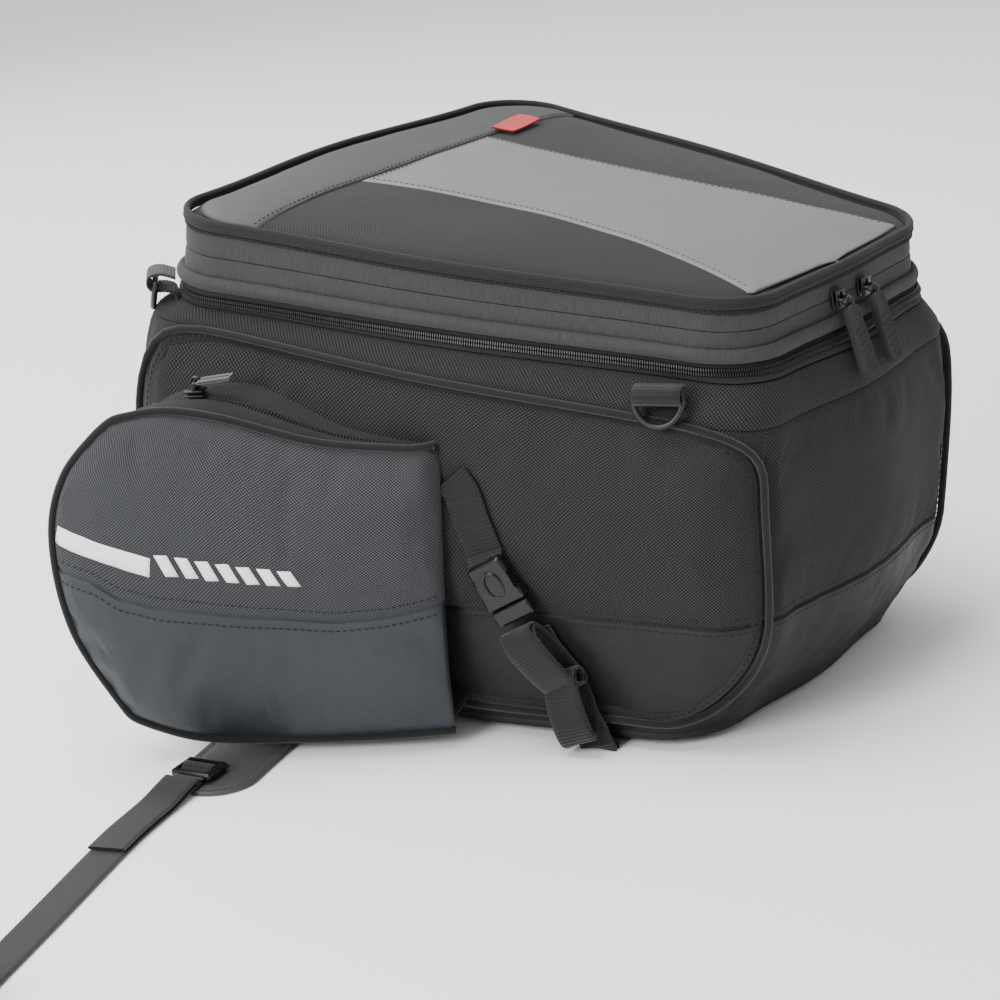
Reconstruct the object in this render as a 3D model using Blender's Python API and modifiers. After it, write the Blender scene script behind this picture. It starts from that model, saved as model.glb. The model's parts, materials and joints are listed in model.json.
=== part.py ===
"""A soft tail bag that straps to a motorcycle's pillion seat.

+Y is forward, +X is the rider's right and +Z is up. The origin is under the middle of the
bag, on the surface that it stands on. Lengths are in millimetres until a mesh is made.
"""

import math
from typing import NamedTuple

import bmesh
import bpy
from mathutils import Matrix, Vector

MM = 0.001
GAP = 0.4  # clearance between neighbouring pieces
LEFT, RIGHT = -1, 1
SIDE_NAME = {LEFT: "left", RIGHT: "right"}


class Level(NamedTuple):
    """One horizontal outline of the bag: a tapered rectangle with round corners and bowed sides."""

    z_front: float
    z_rear: float
    half_front: float
    half_rear: float
    y_front: float
    y_rear: float
    r_front: float
    r_rear: float
    bow_side: float
    bow_front: float
    bow_rear: float


# The levels from the base up to the lid's edge. The bag is a wedge: taller and wider in front.
LEVELS = (
    Level(8, 8, 140, 110, 143, -124, 45, 45, 6, 8, 6),
    Level(79, 72, 168, 108, 165, -156, 42, 38, 8, 10, 8),
    Level(154, 139, 192, 112, 188, -160, 34, 38, 0, 12, 8),
    Level(222, 173, 172, 106, 180, -161, 26, 36, 7, 10, 6),
    Level(228, 193, 163, 93, 170, -156, 28, 34, 7, 10, 6),
    Level(241, 206, 162, 92, 168, -151, 30, 36, 5, 10, 3),
    Level(272, 232, 160, 92, 164, -151, 32, 36, 6, 9, 2),
)
BASE, SKIRT_SEAM, WIDEST, SHOULDER, EXPANSION_ZIP, FOLD, LID_EDGE = range(7)
LID_ZIP = 5.5  # the main zip runs half way between the fold and the lid's edge
ROUND_STEPS = 52  # stretches in a band that goes right round

# Where the outline's corners fall, as fractions of the way round from the middle of the front
FRONT_ARC = (0.11, 0.17)
REAR_ARC = (0.40, 0.46)
FRONT_SEAM = 0.14
REAR_SEAM = 0.445

PANEL_THICK = 4.0  # woven shell, foam and lining
BAND_THICK = 2.4
PIPING_R = 2.4
LID_CROWN = 9.0
LID_MIDDLE_Y = 4.0
LID_INSET = 0.992  # the lid panel ends just inside its piping
MAT_THICK = 4.0
BASE_THICK = 3.0
EXPANSION_TRAVEL = 50.0

WEBBING_WIDTH = 20.0
WEBBING_THICK = 1.6

COLOURS = {
    "ballistic_fabric": ((0.032, 0.033, 0.035, 1), 0.85, 0.0),
    "lid_fabric": ((0.045, 0.045, 0.047, 1), 0.85, 0.0),
    "coated_fabric": ((0.045, 0.049, 0.055, 1), 0.45, 0.0),
    "lid_coated_fabric": ((0.10, 0.10, 0.10, 1), 0.42, 0.0),
    "binding_tape": ((0.015, 0.015, 0.016, 1), 0.8, 0.0),
    "webbing": ((0.022, 0.022, 0.023, 1), 0.8, 0.0),
    "black_plastic": ((0.012, 0.012, 0.013, 1), 0.35, 0.0),
    "rubber": ((0.010, 0.010, 0.011, 1), 0.5, 0.0),
    "zip_coil": ((0.018, 0.018, 0.019, 1), 0.45, 0.0),
    "red_tab": ((0.55, 0.02, 0.03, 1), 0.6, 0.0),
    "board": ((0.05, 0.05, 0.05, 1), 0.6, 0.0),
}


def clear_scene():
    for obj in list(bpy.data.objects):
        bpy.data.objects.remove(obj)


def new_collection(name):
    collection = bpy.data.collections.new(name)
    bpy.context.scene.collection.children.link(collection)
    return collection


def material(name):
    made = bpy.data.materials.get(name)
    if made:
        return made
    colour, roughness, metallic = COLOURS[name]
    made = bpy.data.materials.new(name)
    made.use_nodes = True
    shader = made.node_tree.nodes["Principled BSDF"]
    shader.inputs["Base Color"].default_value = colour
    shader.inputs["Roughness"].default_value = roughness
    shader.inputs["Metallic"].default_value = metallic
    return made


def add_object(name, data, finish):
    obj = bpy.data.objects.new(name, data)
    bpy.data.collections["tail_bag"].objects.link(obj)
    obj.data.materials.append(material(finish))
    return obj


def finish_mesh(name, bm, finish, smooth_angle=35):
    mesh = bpy.data.meshes.new(name)
    bm.to_mesh(mesh)
    bm.free()
    mesh.shade_smooth()
    mesh.set_sharp_from_angle(angle=math.radians(smooth_angle))
    return add_object(name, mesh, finish)


# ---------------------------------------------------------------- the bag's outer surface


def monotone(values, v):
    """A smooth curve through the values at v = 0, 1, 2 ... that never overshoots them."""
    i = min(max(int(v), 0), len(values) - 2)
    t = v - i
    steps = [b - a for a, b in zip(values, values[1:])]

    def slope(k):
        if k in (0, len(values) - 1):
            return steps[0] if k == 0 else steps[-1]
        a, b = steps[k - 1], steps[k]
        return 0.0 if a * b <= 0 else 2 * a * b / (a + b)

    h = t * t * (3 - 2 * t)
    return (
        values[i] * (1 - h)
        + values[i + 1] * h
        + slope(i) * t * (1 - t) ** 2
        - slope(i + 1) * t * t * (1 - t)
    )


def level_at(v):
    return Level(*(monotone([level[k] for level in LEVELS], v) for k in range(len(Level._fields))))


def outline_point(level, u):
    """(x, y) at the fraction u of the way round, from the middle of the front by the left side."""
    if u > 0.5:
        x, y = outline_point(level, 1 - u)
        return -x, y
    run = level.y_front - level.y_rear
    taper = math.atan2(level.half_front - level.half_rear, run)

    def corner(y, r):
        edge = -level.half_front + (level.half_front - level.half_rear) * (level.y_front - y) / run
        return Vector((edge + r / math.cos(taper), y))

    front = corner(level.y_front - level.r_front, level.r_front)
    rear = corner(level.y_rear + level.r_rear, level.r_rear)

    def on_arc(centre, r, angle):
        return centre + r * Vector((math.cos(angle), math.sin(angle)))

    side_angle = math.pi + taper
    if u < FRONT_ARC[0]:
        t = u / FRONT_ARC[0]
        bow = level.bow_front * math.cos(math.pi / 2 * t) ** 2
        return front.x * t, level.y_front + bow
    if u < FRONT_ARC[1]:
        t = (u - FRONT_ARC[0]) / (FRONT_ARC[1] - FRONT_ARC[0])
        p = on_arc(front, level.r_front, math.pi / 2 + t * (side_angle - math.pi / 2))
        return p.x, p.y
    if u < REAR_ARC[0]:
        t = (u - FRONT_ARC[1]) / (REAR_ARC[0] - FRONT_ARC[1])
        a = on_arc(front, level.r_front, side_angle)
        b = on_arc(rear, level.r_rear, side_angle)
        p = a.lerp(b, t)
        return p.x - level.bow_side * math.sin(math.pi * t) ** 2, p.y
    if u < REAR_ARC[1]:
        t = (u - REAR_ARC[0]) / (REAR_ARC[1] - REAR_ARC[0])
        p = on_arc(rear, level.r_rear, side_angle + t * (1.5 * math.pi - side_angle))
        return p.x, p.y
    t = (u - REAR_ARC[1]) / (0.5 - REAR_ARC[1])
    bow = level.bow_rear * math.sin(math.pi / 2 * t) ** 2
    return rear.x * (1 - t), level.y_rear - bow


def skin(u, v):
    """The point of the bag's outer surface at u round the outline and v up the levels."""
    u = u % 1.0
    level = level_at(v)
    x, y = outline_point(level, u)
    up = (y - level.y_rear) / (level.y_front - level.y_rear)
    return Vector((x, y, level.z_rear + (level.z_front - level.z_rear) * up))


def skin_normal(u, v):
    du, dv = 0.002, 0.02
    v = min(max(v, dv), LID_EDGE - dv)
    across = skin(u + du, v) - skin(u - du, v)
    up = skin(u, v + dv) - skin(u, v - dv)
    return across.cross(up).normalized()


def off_skin(u, v, out):
    return skin(u, v) + skin_normal(u, v) * out


def skin_at(y, z, side):
    """The point of the left or right surface at this y and z, found by halving the search range."""
    u, v = (FRONT_ARC[1] + REAR_ARC[0]) / 2, 1.5
    for _ in range(3):
        low, high = 0.0, float(LID_EDGE)
        for _ in range(24):
            v = (low + high) / 2
            low, high = (v, high) if skin(u, v).z < z else (low, v)
        low, high = 0.05, 0.45
        for _ in range(24):
            u = (low + high) / 2
            low, high = (u, high) if skin(u, v).y > y else (low, u)
    point = skin(u, v)
    normal = skin_normal(u, v)
    return Vector((-side * point.x, point.y, point.z)), Vector((-side * normal.x, normal.y, normal.z))


# ---------------------------------------------------------------- modelling helpers


def sheet(name, place, steps, thickness, finish, closed=False):
    """A sheet whose point at (s, t), both 0 to 1, is place(s, t), thickened against its normal."""
    bm = bmesh.new()
    bmesh.ops.create_grid(bm, x_segments=steps[0], y_segments=steps[1], size=0.5)
    for vert in bm.verts:
        vert.co = place(vert.co.x + 0.5, vert.co.y + 0.5) * MM
    if closed:
        bmesh.ops.remove_doubles(bm, verts=bm.verts, dist=1e-6)
    obj = finish_mesh(name, bm, finish)
    shell = obj.modifiers.new("thickness", "SOLIDIFY")
    shell.thickness = thickness * MM
    shell.offset = -1
    return obj


def tube(name, points, radius, finish, closed=False, resolution=1):
    curve = bpy.data.curves.new(name, "CURVE")
    curve.dimensions = "3D"
    curve.bevel_depth = radius * MM
    curve.bevel_resolution = resolution
    curve.use_fill_caps = True
    spline = curve.splines.new("POLY")
    spline.points.add(len(points) - 1)
    for slot, point in zip(spline.points, points):
        slot.co = (*(Vector(point) * MM), 1)
    spline.use_cyclic_u = closed
    return add_object(name, curve, finish)


def as_mesh(obj):
    """The curve object made a closed mesh object of the same name."""
    name = obj.name
    bpy.context.view_layer.update()
    graph = bpy.context.evaluated_depsgraph_get()
    mesh = bpy.data.meshes.new_from_object(obj.evaluated_get(graph))
    bm = bmesh.new()
    bm.from_mesh(mesh)
    bmesh.ops.remove_doubles(bm, verts=bm.verts, dist=1e-6)
    bm.to_mesh(mesh)
    bm.free()
    matrix = obj.matrix_world.copy()
    bpy.data.objects.remove(obj)
    made = bpy.data.objects.new(name, mesh)
    bpy.data.collections["tail_bag"].objects.link(made)
    made.matrix_world = matrix
    return made


def block(name, size, place, finish, bevel=0.8, segments=2):
    """A box with rounded edges. place is a Matrix in millimetres, with the box centred on it."""
    bm = bmesh.new()
    bmesh.ops.create_cube(bm, size=1)
    for vert in bm.verts:
        vert.co = Vector([c * s for c, s in zip(vert.co, size)]) * MM
    obj = finish_mesh(name, bm, finish)
    obj.matrix_world = in_metres(place)
    if bevel:
        edge = obj.modifiers.new("edges", "BEVEL")
        edge.width = bevel * MM
        edge.segments = segments
    return obj


def in_metres(place):
    made = place.copy()
    made.translation = made.translation * MM
    return made


def combine(obj, operation, other):
    """Joins the other to obj or cuts it from obj, and keeps it as a hidden helper."""
    for collection in list(other.users_collection):
        collection.objects.unlink(other)
    bpy.data.collections["helpers"].objects.link(other)
    other.hide_render = True
    other.display_type = "WIRE"
    boolean = obj.modifiers.new(operation.lower(), "BOOLEAN")
    boolean.operation = operation
    boolean.object = other
    return obj


def smooth_route(points, count):
    """count points along a smooth curve through the given ones."""
    ends = [2 * points[0] - points[1], *points, 2 * points[-1] - points[-2]]
    made = []
    for k in range(count):
        s = k / (count - 1) * (len(points) - 1)
        i = min(int(s), len(points) - 2)
        t = s - i
        a, b, c, d = ends[i : i + 4]
        made.append(
            0.5 * (2 * b + (c - a) * t + (2 * a - 5 * b + 4 * c - d) * t * t + (3 * b - a - 3 * c + d) * t**3)
        )
    return made


def strap(name, points, normals, width, finish="webbing", thickness=WEBBING_THICK, across=None):
    """Flat webbing along the points. The normals face out of it, and its width lies across both."""
    count = len(points)

    def place(s, t):
        k = round(s * (count - 1))
        along = (points[min(k + 1, count - 1)] - points[max(k - 1, 0)]).normalized()
        sideways = across if across else normals[k].cross(along).normalized()
        return points[k] + sideways * (t - 0.5) * width

    return sheet(name, place, (count - 1, 1), thickness, finish)


def basis(origin, x, z):
    """A placement with its X along x and its Z near z."""
    x = Vector(x).normalized()
    y = Vector(z).cross(x).normalized()
    z = x.cross(y)
    return Matrix.Translation(Vector(origin)) @ Matrix((x, y, z)).transposed().to_4x4()


# ---------------------------------------------------------------- the body


def shell_panel(name, u_range, v_range, steps, finish="ballistic_fabric"):
    (u0, u1), (v0, v1) = u_range, v_range
    return sheet(
        name,
        lambda s, t: skin(u0 + (u1 - u0) * s, v0 + (v1 - v0) * t),
        steps,
        PANEL_THICK,
        finish,
    )


def ring_band(name, v_range, finish, sink=0.0, thickness=BAND_THICK, steps=1, round_steps=ROUND_STEPS):
    v0, v1 = v_range
    return sheet(
        name,
        lambda s, t: off_skin(s, v0 + (v1 - v0) * t, -sink),
        (round_steps, steps),
        thickness,
        finish,
        closed=True,
    )


def ring_piping(name, v, out=PIPING_R + GAP, count=ROUND_STEPS):
    points = [off_skin(k / count, v, out) for k in range(count)]
    return tube(name, points, PIPING_R, "binding_tape", closed=True)


def flat_plate(name, v, shrink, z, thickness, finish):
    """A plate inside the outline of a level, drawn in all round by shrink."""
    bm = bmesh.new()
    count = 48
    corners = []
    for k in range(count):
        point = skin(k / count, v)
        inwards = Vector((point.x, point.y, 0)).normalized() * shrink
        corners.append(bm.verts.new(((point - inwards) * MM).xy.to_3d() + Vector((0, 0, z * MM))))
    face = bm.faces.new(corners)
    if face.normal.z < 0:
        face.normal_flip()
    bm.normal_update()
    obj = finish_mesh(name, bm, finish)
    shell = obj.modifiers.new("thickness", "SOLIDIFY")
    shell.thickness = thickness * MM
    shell.offset = -1
    return obj


def make_base():
    flat_plate("base_panel", BASE, 1.0, MAT_THICK + 0.3 + BASE_THICK, BASE_THICK, "coated_fabric")
    board_z = MAT_THICK + 0.3 + BASE_THICK + 0.4 + 3.0
    flat_plate("base_board", BASE, 9.0, board_z, 3.0, "board")
    mat_width, mat_length = 168.0, 200.0
    place = Matrix.Translation((0, 8, MAT_THICK / 2))
    block("anti_slip_mat", (mat_width, mat_length, MAT_THICK), place, "rubber", bevel=1.2, segments=1)


def make_panels():
    seam = 0.002  # half the gap between two panels, as a fraction of the way round
    low, high = 0.0, SHOULDER - 0.05
    shell_panel("front_panel", (-FRONT_SEAM + seam, FRONT_SEAM - seam), (low, high), (14, 7))
    shell_panel("rear_panel", (REAR_SEAM + seam, 1 - REAR_SEAM - seam), (low, high), (12, 7))
    for side in (LEFT, RIGHT):
        u_range = (FRONT_SEAM + seam, REAR_SEAM - seam)
        if side == RIGHT:
            u_range = (1 - u_range[1], 1 - u_range[0])
        shell_panel(f"side_panel_{SIDE_NAME[side]}", u_range, (low, high), (16, 7))
        make_side_piping(side, u_range)


def make_side_piping(side, u_range):
    """Piping round the side panel, with its corners rounded."""
    u0, u1 = u_range
    v0, v1 = 0.12, SHOULDER - 0.04
    round_u, round_v = 0.03, 0.55
    points = []
    corners = ((u1, v0, -1, 1), (u1, v1, -1, -1), (u0, v1, 1, -1), (u0, v0, 1, 1))
    for k, (u, v, du, dv) in enumerate(corners):
        centre = (u + du * round_u, v + dv * round_v)
        start = -90 + 90 * k
        for j in range(5):
            angle = math.radians(start + 90 * j / 4)
            points.append((centre[0] + round_u * math.cos(angle), centre[1] + round_v * math.sin(angle)))
    route = []
    for (ua, va), (ub, vb) in zip(points, points[1:] + points[:1]):
        pieces = max(1, round(abs(ub - ua) / 0.022), round(abs(vb - va) / 0.35))
        route += [(ua + (ub - ua) * j / pieces, va + (vb - va) * j / pieces) for j in range(pieces)]
    path = [off_skin(u, v, PIPING_R + GAP + 0.5) for u, v in route]
    tube(f"side_piping_{SIDE_NAME[side]}", path, PIPING_R, "binding_tape", closed=True)


def make_tiers():
    ring_band("lower_collar", (SHOULDER + 0.1, EXPANSION_ZIP - 0.08), "ballistic_fabric", thickness=1.4)
    ring_band("upper_collar", (EXPANSION_ZIP + 0.06, FOLD - 0.03), "lid_fabric")
    ring_band("lower_gusset", (FOLD + 0.02, LID_ZIP - 0.01), "lid_fabric")
    ring_band("upper_gusset", (LID_ZIP + 0.01, LID_EDGE - 0.12), "lid_fabric")
    ring_piping("fold_piping", FOLD)
    ring_band(
        "expansion_zipper",
        (EXPANSION_ZIP + 0.1, EXPANSION_ZIP + 0.52),
        "zip_coil",
        sink=-2.4,
        thickness=1.4,
        steps=1,
    )
    make_expansion_gusset()


def make_expansion_gusset():
    """The fabric that the expansion zip lets out, folded away inside it at rest."""
    inset, low, high = 7.5, -2.0, 10.0

    def place(s, t):
        point = off_skin(s, FOLD, -inset)
        return Vector((point.x, point.y, skin(s, EXPANSION_ZIP).z + low + (high - low) * t))

    sheet("expansion_gusset", place, (ROUND_STEPS, 1), 1.4, "lid_fabric", closed=True)


# ---------------------------------------------------------------- the lid


def lid_plane(y):
    """The height of the lid's sloping edge at y."""
    level = LEVELS[LID_EDGE]
    along = (y - level.y_rear) / (level.y_front - level.y_rear)
    return level.z_rear + (level.z_front - level.z_rear) * along


def lid_surface(s, k):
    """The lid's top: round its edge by s, and from the middle out to the edge by k."""
    rim = skin(s, LID_EDGE)
    y = LID_MIDDLE_Y + (rim.y - LID_MIDDLE_Y) * k
    return Vector((rim.x * k, y, lid_plane(y) + LID_CROWN * (1 - k**3)))


def lid_height(x, y):
    """The height of the lid's top over (x, y)."""

    def turned(x, y):
        return math.atan2(-x, y - LID_MIDDLE_Y) % (2 * math.pi)

    low, high = 0.0, 1.0
    for _ in range(24):
        u = (low + high) / 2
        rim = skin(u, LID_EDGE)
        low, high = (u, high) if turned(rim.x, rim.y) < turned(x, y) else (low, u)
    k = math.hypot(x, y - LID_MIDDLE_Y) / math.hypot(rim.x, rim.y - LID_MIDDLE_Y)
    return lid_plane(y) + LID_CROWN * (1 - min(k, 1.0) ** 3)


def make_lid():
    rings = (LID_INSET, 0.9, 0.7, 0.4, 0.0)

    def top(s, t):
        return lid_surface(s, rings[round(t * (len(rings) - 1))])

    sheet("lid_panel", top, (48, len(rings) - 1), 3.0, "lid_fabric", closed=True)
    edge_rise = 1.5
    path = [
        off_skin(k / ROUND_STEPS, LID_EDGE, PIPING_R + GAP) + Vector((0, 0, edge_rise))
        for k in range(ROUND_STEPS)
    ]
    tube("lid_piping", path, PIPING_R, "binding_tape", closed=True)
    make_lid_centre()
    make_lid_board()
    make_lid_tab()
    make_main_zipper()


LID_SEAM_Y = 107.0
CENTRE_REAR_Y = -141.0


def centre_half_width(y):
    """Half the width of the lid's smooth centre panel, which has a waist."""
    waist_y, waist, flare = 18.0, 50.0, 0.00092
    return waist + flare * (y - waist_y) ** 2


def lid_height(x, y):
    """The lid surface's height over (x, y)."""
    angle_low, angle_high = 0.0, 1.0
    best = None
    target = math.atan2(y - 4.0, x)
    for _ in range(30):
        u = (angle_low + angle_high) / 2
        rim = skin(u, LID_EDGE)
        angle = (math.atan2(rim.y - 4.0, rim.x) - math.pi / 2) % (2 * math.pi)
        wanted = (target - math.pi / 2) % (2 * math.pi)
        angle_low, angle_high = (u, angle_high) if angle < wanted else (angle_low, u)
        best = rim
    k = math.hypot(x, y - 4.0) / math.hypot(best.x, best.y - 4.0)
    level = LEVELS[LID_EDGE]
    along = (y - level.y_rear) / (level.y_front - level.y_rear)
    return level.z_rear + (level.z_front - level.z_rear) * along + LID_CROWN * (1 - min(k, 1) ** 3)


def make_lid_centre():
    thick, lift = 1.0, 0.9

    def place(s, t):
        y = CENTRE_REAR_Y + (LID_SEAM_Y - CENTRE_REAR_Y) * t
        x = centre_half_width(y) * (2 * s - 1)
        return Vector((x, y, lid_height(x, y) + thick + lift))

    sheet("lid_centre_panel", place, (8, 12), thick, "lid_coated_fabric")


def make_lid_board():
    """The stiffener that keeps the lid's shape."""
    drop, rear_y, length, half_rear, half_front = 3.0, -120.0, 250.0, 76.0, 114.0

    def place(s, t):
        y = rear_y + length * t
        half = half_rear + (half_front - half_rear) * t
        return Vector((half * (2 * s - 1), y, lid_plane(y) - drop))

    sheet("lid_board", place, (4, 4), 2.0, "board")


def make_lid_tab():
    """The small folded tab that stands out of the lid's front seam."""
    width, length, thick = 34.0, 15.0, 1.2
    x, y = 84.0, LID_SEAM_Y - 1.0
    ahead = Vector((0.0, 1.0, 0.13)).normalized()
    right = Vector((1.0, 0.14, 0.0)).normalized()
    up = right.cross(ahead)
    z = lid_height(x, y) + thick / 2 + 2.6
    place = Matrix.Translation((x, y, z)) @ Matrix((right, ahead, up)).transposed().to_4x4()
    block("lid_tab", (width, length, thick), place, "red_tab", bevel=0.4, segments=1)


ZIP_START = 9  # the zip starts this many of the ROUND_STEPS from the middle of the front


def make_main_zipper():
    """The coil and its tape, inside the gusset, from one front corner round the rear to the other."""
    low, high = LID_ZIP - 0.12, LID_ZIP + 0.27
    steps = ROUND_STEPS - 2 * ZIP_START

    def place(s, t):
        u = (ZIP_START + steps * s) / ROUND_STEPS
        return off_skin(u, low + (high - low) * t, -BAND_THICK - 0.6)

    sheet("main_zipper", place, (steps, 1), 1.2, "zip_coil")


# ---------------------------------------------------------------- zip sliders and their pulls


SLIDER_DEPTH = 3.6
BRIDGE_REACH = 4.6
BRIDGE_OUT = SLIDER_DEPTH + BRIDGE_REACH - 1.0  # from the slider's back to the bar of its pull


def zip_slider(name, place):
    """A slider. Its X runs along the zip, its Y points into the bag and its Z is up the face."""
    depth = SLIDER_DEPTH
    body = block(
        name,
        (9.0, depth, 10.0),
        place @ Matrix.Translation((0, -depth / 2, 0)),
        "black_plastic",
        bevel=0.9,
    )
    reach, half = BRIDGE_REACH, 3.2
    hoop = [(-half, -depth + 1, 0), (-half, -depth - reach + 1, 0)]
    hoop += [(half, -depth - reach + 1, 0), (half, -depth + 1, 0)]
    bridge = as_mesh(tube(f"{name}_bridge", [place @ Vector(p) for p in hoop], 0.9, "black_plastic"))
    return combine(body, "UNION", bridge)


def zip_pull(name, place, size, lean, finish):
    """A pull on a wire eye. place's origin is on the bar. The pull hangs along its -Z, leaning out."""
    width, thick, length = size
    place = place @ Matrix.Rotation(-math.radians(lean), 4, "X")
    eye_r, wire = 2.5, 0.75
    eye = [
        (0, eye_r * math.sin(a), eye_r * math.cos(a) - eye_r + 1.9)
        for a in (2 * math.pi * k / 14 for k in range(14))
    ]
    top = 2.9
    tab = block(
        name,
        (width, thick, length),
        place @ Matrix.Translation((0, 0, -top - length / 2)),
        finish,
        bevel=min(thick, width) * 0.3,
    )
    wire_eye = as_mesh(tube(f"{name}_eye", [place @ Vector(p) for p in eye], wire, "black_plastic", closed=True))
    return combine(tab, "UNION", wire_eye)


def rear_face_place(x, v, out):
    """A placement on the rear face at x, with its Y pointing into the bag."""
    low, high = 0.46, 0.54
    for _ in range(24):
        u = (low + high) / 2
        low, high = (u, high) if skin(u, v).x < x else (low, u)
    point = off_skin(u, v, out)
    return basis(point, (1, 0, 0), (0, 0, 1))


MAIN_SLIDERS = {LEFT: -13.0, RIGHT: 13.0}  # where each slider rests, across the rear face
MAIN_PULL_LEAN = 17.0  # the pulls rest against the tier below, which stands out further


def make_main_sliders():
    for side, x in MAIN_SLIDERS.items():
        place = rear_face_place(x, LID_ZIP, 1.6)
        zip_slider(f"main_slider_{SIDE_NAME[side]}", place)
        bar = place @ Matrix.Translation((0, -BRIDGE_OUT, 0))
        zip_pull(f"main_pull_{SIDE_NAME[side]}", bar, (10.0, 4.4, 38.0), MAIN_PULL_LEAN, "rubber")


def make_expansion_slider():
    """The expansion zip's slider rests in the middle of the front."""
    v = EXPANSION_ZIP + 0.3
    point = off_skin(0.0, v, 4.0)
    place = basis(point, (-1, 0, 0), (0, 0, 1))
    zip_slider("expansion_slider", place)
    bar = place @ Matrix.Translation((0, -BRIDGE_OUT, 0))
    zip_pull("expansion_pull", bar, (7.0, 2.4, 24.0), 25.0, "rubber")


# ---------------------------------------------------------------- side pockets

# The pocket's flat outer face stands on this line, from its rear edge to its front one
POCKET_REAR = Vector((-154.0, -6.0, 0.0))
POCKET_FRONT = Vector((-257.0, 171.0, 0.0))
POCKET_BULGE = 13.0
POCKET_THICK = 2.6
# The face's outline, as distance forward and height, in three smooth runs
POCKET_TOP = ((0, 162), (58, 168), (110, 184), (140, 189), (166, 185))
POCKET_NOSE = ((166, 185), (192, 158), (203, 122), (198, 72), (174, 24))
POCKET_FLOOR = ((174, 24), (140, 12), (90, 9), (45, 9), (0, 11))
POCKET_STEPS = (10, 8)  # along the floor or the top, and up the nose
NOSE_FROM, TOP_FROM = 0.36, 0.66  # where those runs start, as fractions of the rim


def along_run(run, t):
    """The point at the fraction t of a smooth curve through the run's places."""
    last = len(run) - 1
    i = min(int(t * last), last - 1)
    a, b, c, d = (Vector(run[min(max(k, 0), last)]) for k in range(i - 1, i + 3))
    t = t * last - i
    return 0.5 * (2 * b + (c - a) * t + (2 * a - 5 * b + 4 * c - d) * t * t + (3 * b - a - 3 * c + d) * t**3)


def pocket_frame(side):
    """The pocket's forward direction and its outward one."""
    forward = (POCKET_FRONT - POCKET_REAR).normalized()
    outward = Vector((-forward.y, forward.x, 0))
    mirror = Matrix.Diagonal((-side, 1, 1))
    return mirror @ POCKET_REAR, mirror @ forward, mirror @ outward


def pocket_face(side, s, t, lift=0.0):
    """The outer face, with s forward from the rear edge and t up, bulging in the middle."""
    origin, forward, outward = pocket_frame(side)
    floor, top = along_run(POCKET_FLOOR, 1 - s), along_run(POCKET_TOP, s)
    nose = along_run(POCKET_NOSE, 1 - t)
    rear_low, rear_high = Vector(POCKET_FLOOR[-1]), Vector(POCKET_TOP[0])
    nose_low, nose_high = Vector(POCKET_FLOOR[0]), Vector(POCKET_TOP[-1])
    flat = floor.lerp(top, t) + rear_low.lerp(rear_high, t).lerp(nose, s)
    flat -= rear_low.lerp(rear_high, t).lerp(nose_low.lerp(nose_high, t), s)
    dome = (1 - (2 * s - 1) ** 4) * (1 - (2 * t - 1) ** 4)
    return origin + forward * flat.x + Vector((0, 0, flat.y)) + outward * (POCKET_BULGE * dome + lift)


def pocket_rim(side, t):
    """The face's edge, from the rear bottom round the front to the rear top."""
    origin, forward, _ = pocket_frame(side)
    if t < NOSE_FROM:
        p = along_run(POCKET_FLOOR, 1 - t / NOSE_FROM)
    elif t < TOP_FROM:
        p = along_run(POCKET_NOSE, 1 - (t - NOSE_FROM) / (TOP_FROM - NOSE_FROM))
    else:
        p = along_run(POCKET_TOP, 1 - (t - TOP_FROM) / (1 - TOP_FROM))
    return origin + forward * p.x + Vector((0, 0, p.y))


POCKET_JOIN_Y = 136.0  # how far forward the pocket is sewn to the bag


def pocket_root(side, t):
    """The line where the pocket's gusset meets the bag, across from pocket_rim(side, t)."""
    rim = pocket_rim(side, t)
    z = min(max(rim.z + 2.0, 22.0), 190.0)
    y = min(rim.y, POCKET_JOIN_Y - 0.8 * max(60.0 - z, 0.0)) - 4.0 * math.sin(math.pi * t)
    point, normal = skin_at(y, z, side)
    return point + normal * 2.4


def pocket_gusset(side, s, t):
    """The band round the pocket: s along pocket_rim, and t from the rim in to the bag."""
    rim, root = pocket_rim(side, s), pocket_root(side, s)
    inward = (root - rim).normalized()
    clear = (POCKET_THICK + 2.2) / max(-inward.dot(pocket_frame(side)[2]), 0.4)
    return (rim + inward * clear).lerp(root, t)


def make_pocket(side):
    name = SIDE_NAME[side]

    def face(s, t):
        return pocket_face(side, 1 - s if side == LEFT else s, t)

    def band(s, t):
        return pocket_gusset(side, 0.01 + 0.98 * s, t if side == LEFT else 1 - t)

    sheet(f"pocket_panel_{name}", face, POCKET_STEPS, POCKET_THICK, "coated_fabric")
    sheet(f"pocket_gusset_{name}", band, (32, 1), 2.0, "ballistic_fabric")
    _, _, outward = pocket_frame(side)
    path = []
    runs = ((0.0, NOSE_FROM, POCKET_STEPS[0]), (NOSE_FROM, TOP_FROM, POCKET_STEPS[1]), (TOP_FROM, 1.0, POCKET_STEPS[0]))
    stops = [start + (end - start) * k / count for start, end, count in runs for k in range(count)]
    for s in [*stops, 1.0]:
        along = pocket_rim(side, min(s + 0.02, 1)) - pocket_rim(side, max(s - 0.02, 0))
        away = outward.cross(along).normalized() * -side
        path.append(pocket_rim(side, s) + away * (PIPING_R + GAP + 0.4) + outward * 1.2)
    tube(f"pocket_piping_{name}", path, PIPING_R, "binding_tape")
    make_pocket_slider(side)


POCKET_SLIDER_S = 0.745  # along the rim, on the pocket's top
POCKET_SLIDER_T = 0.45
POCKET_PULL_LEAN = 9.0


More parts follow.
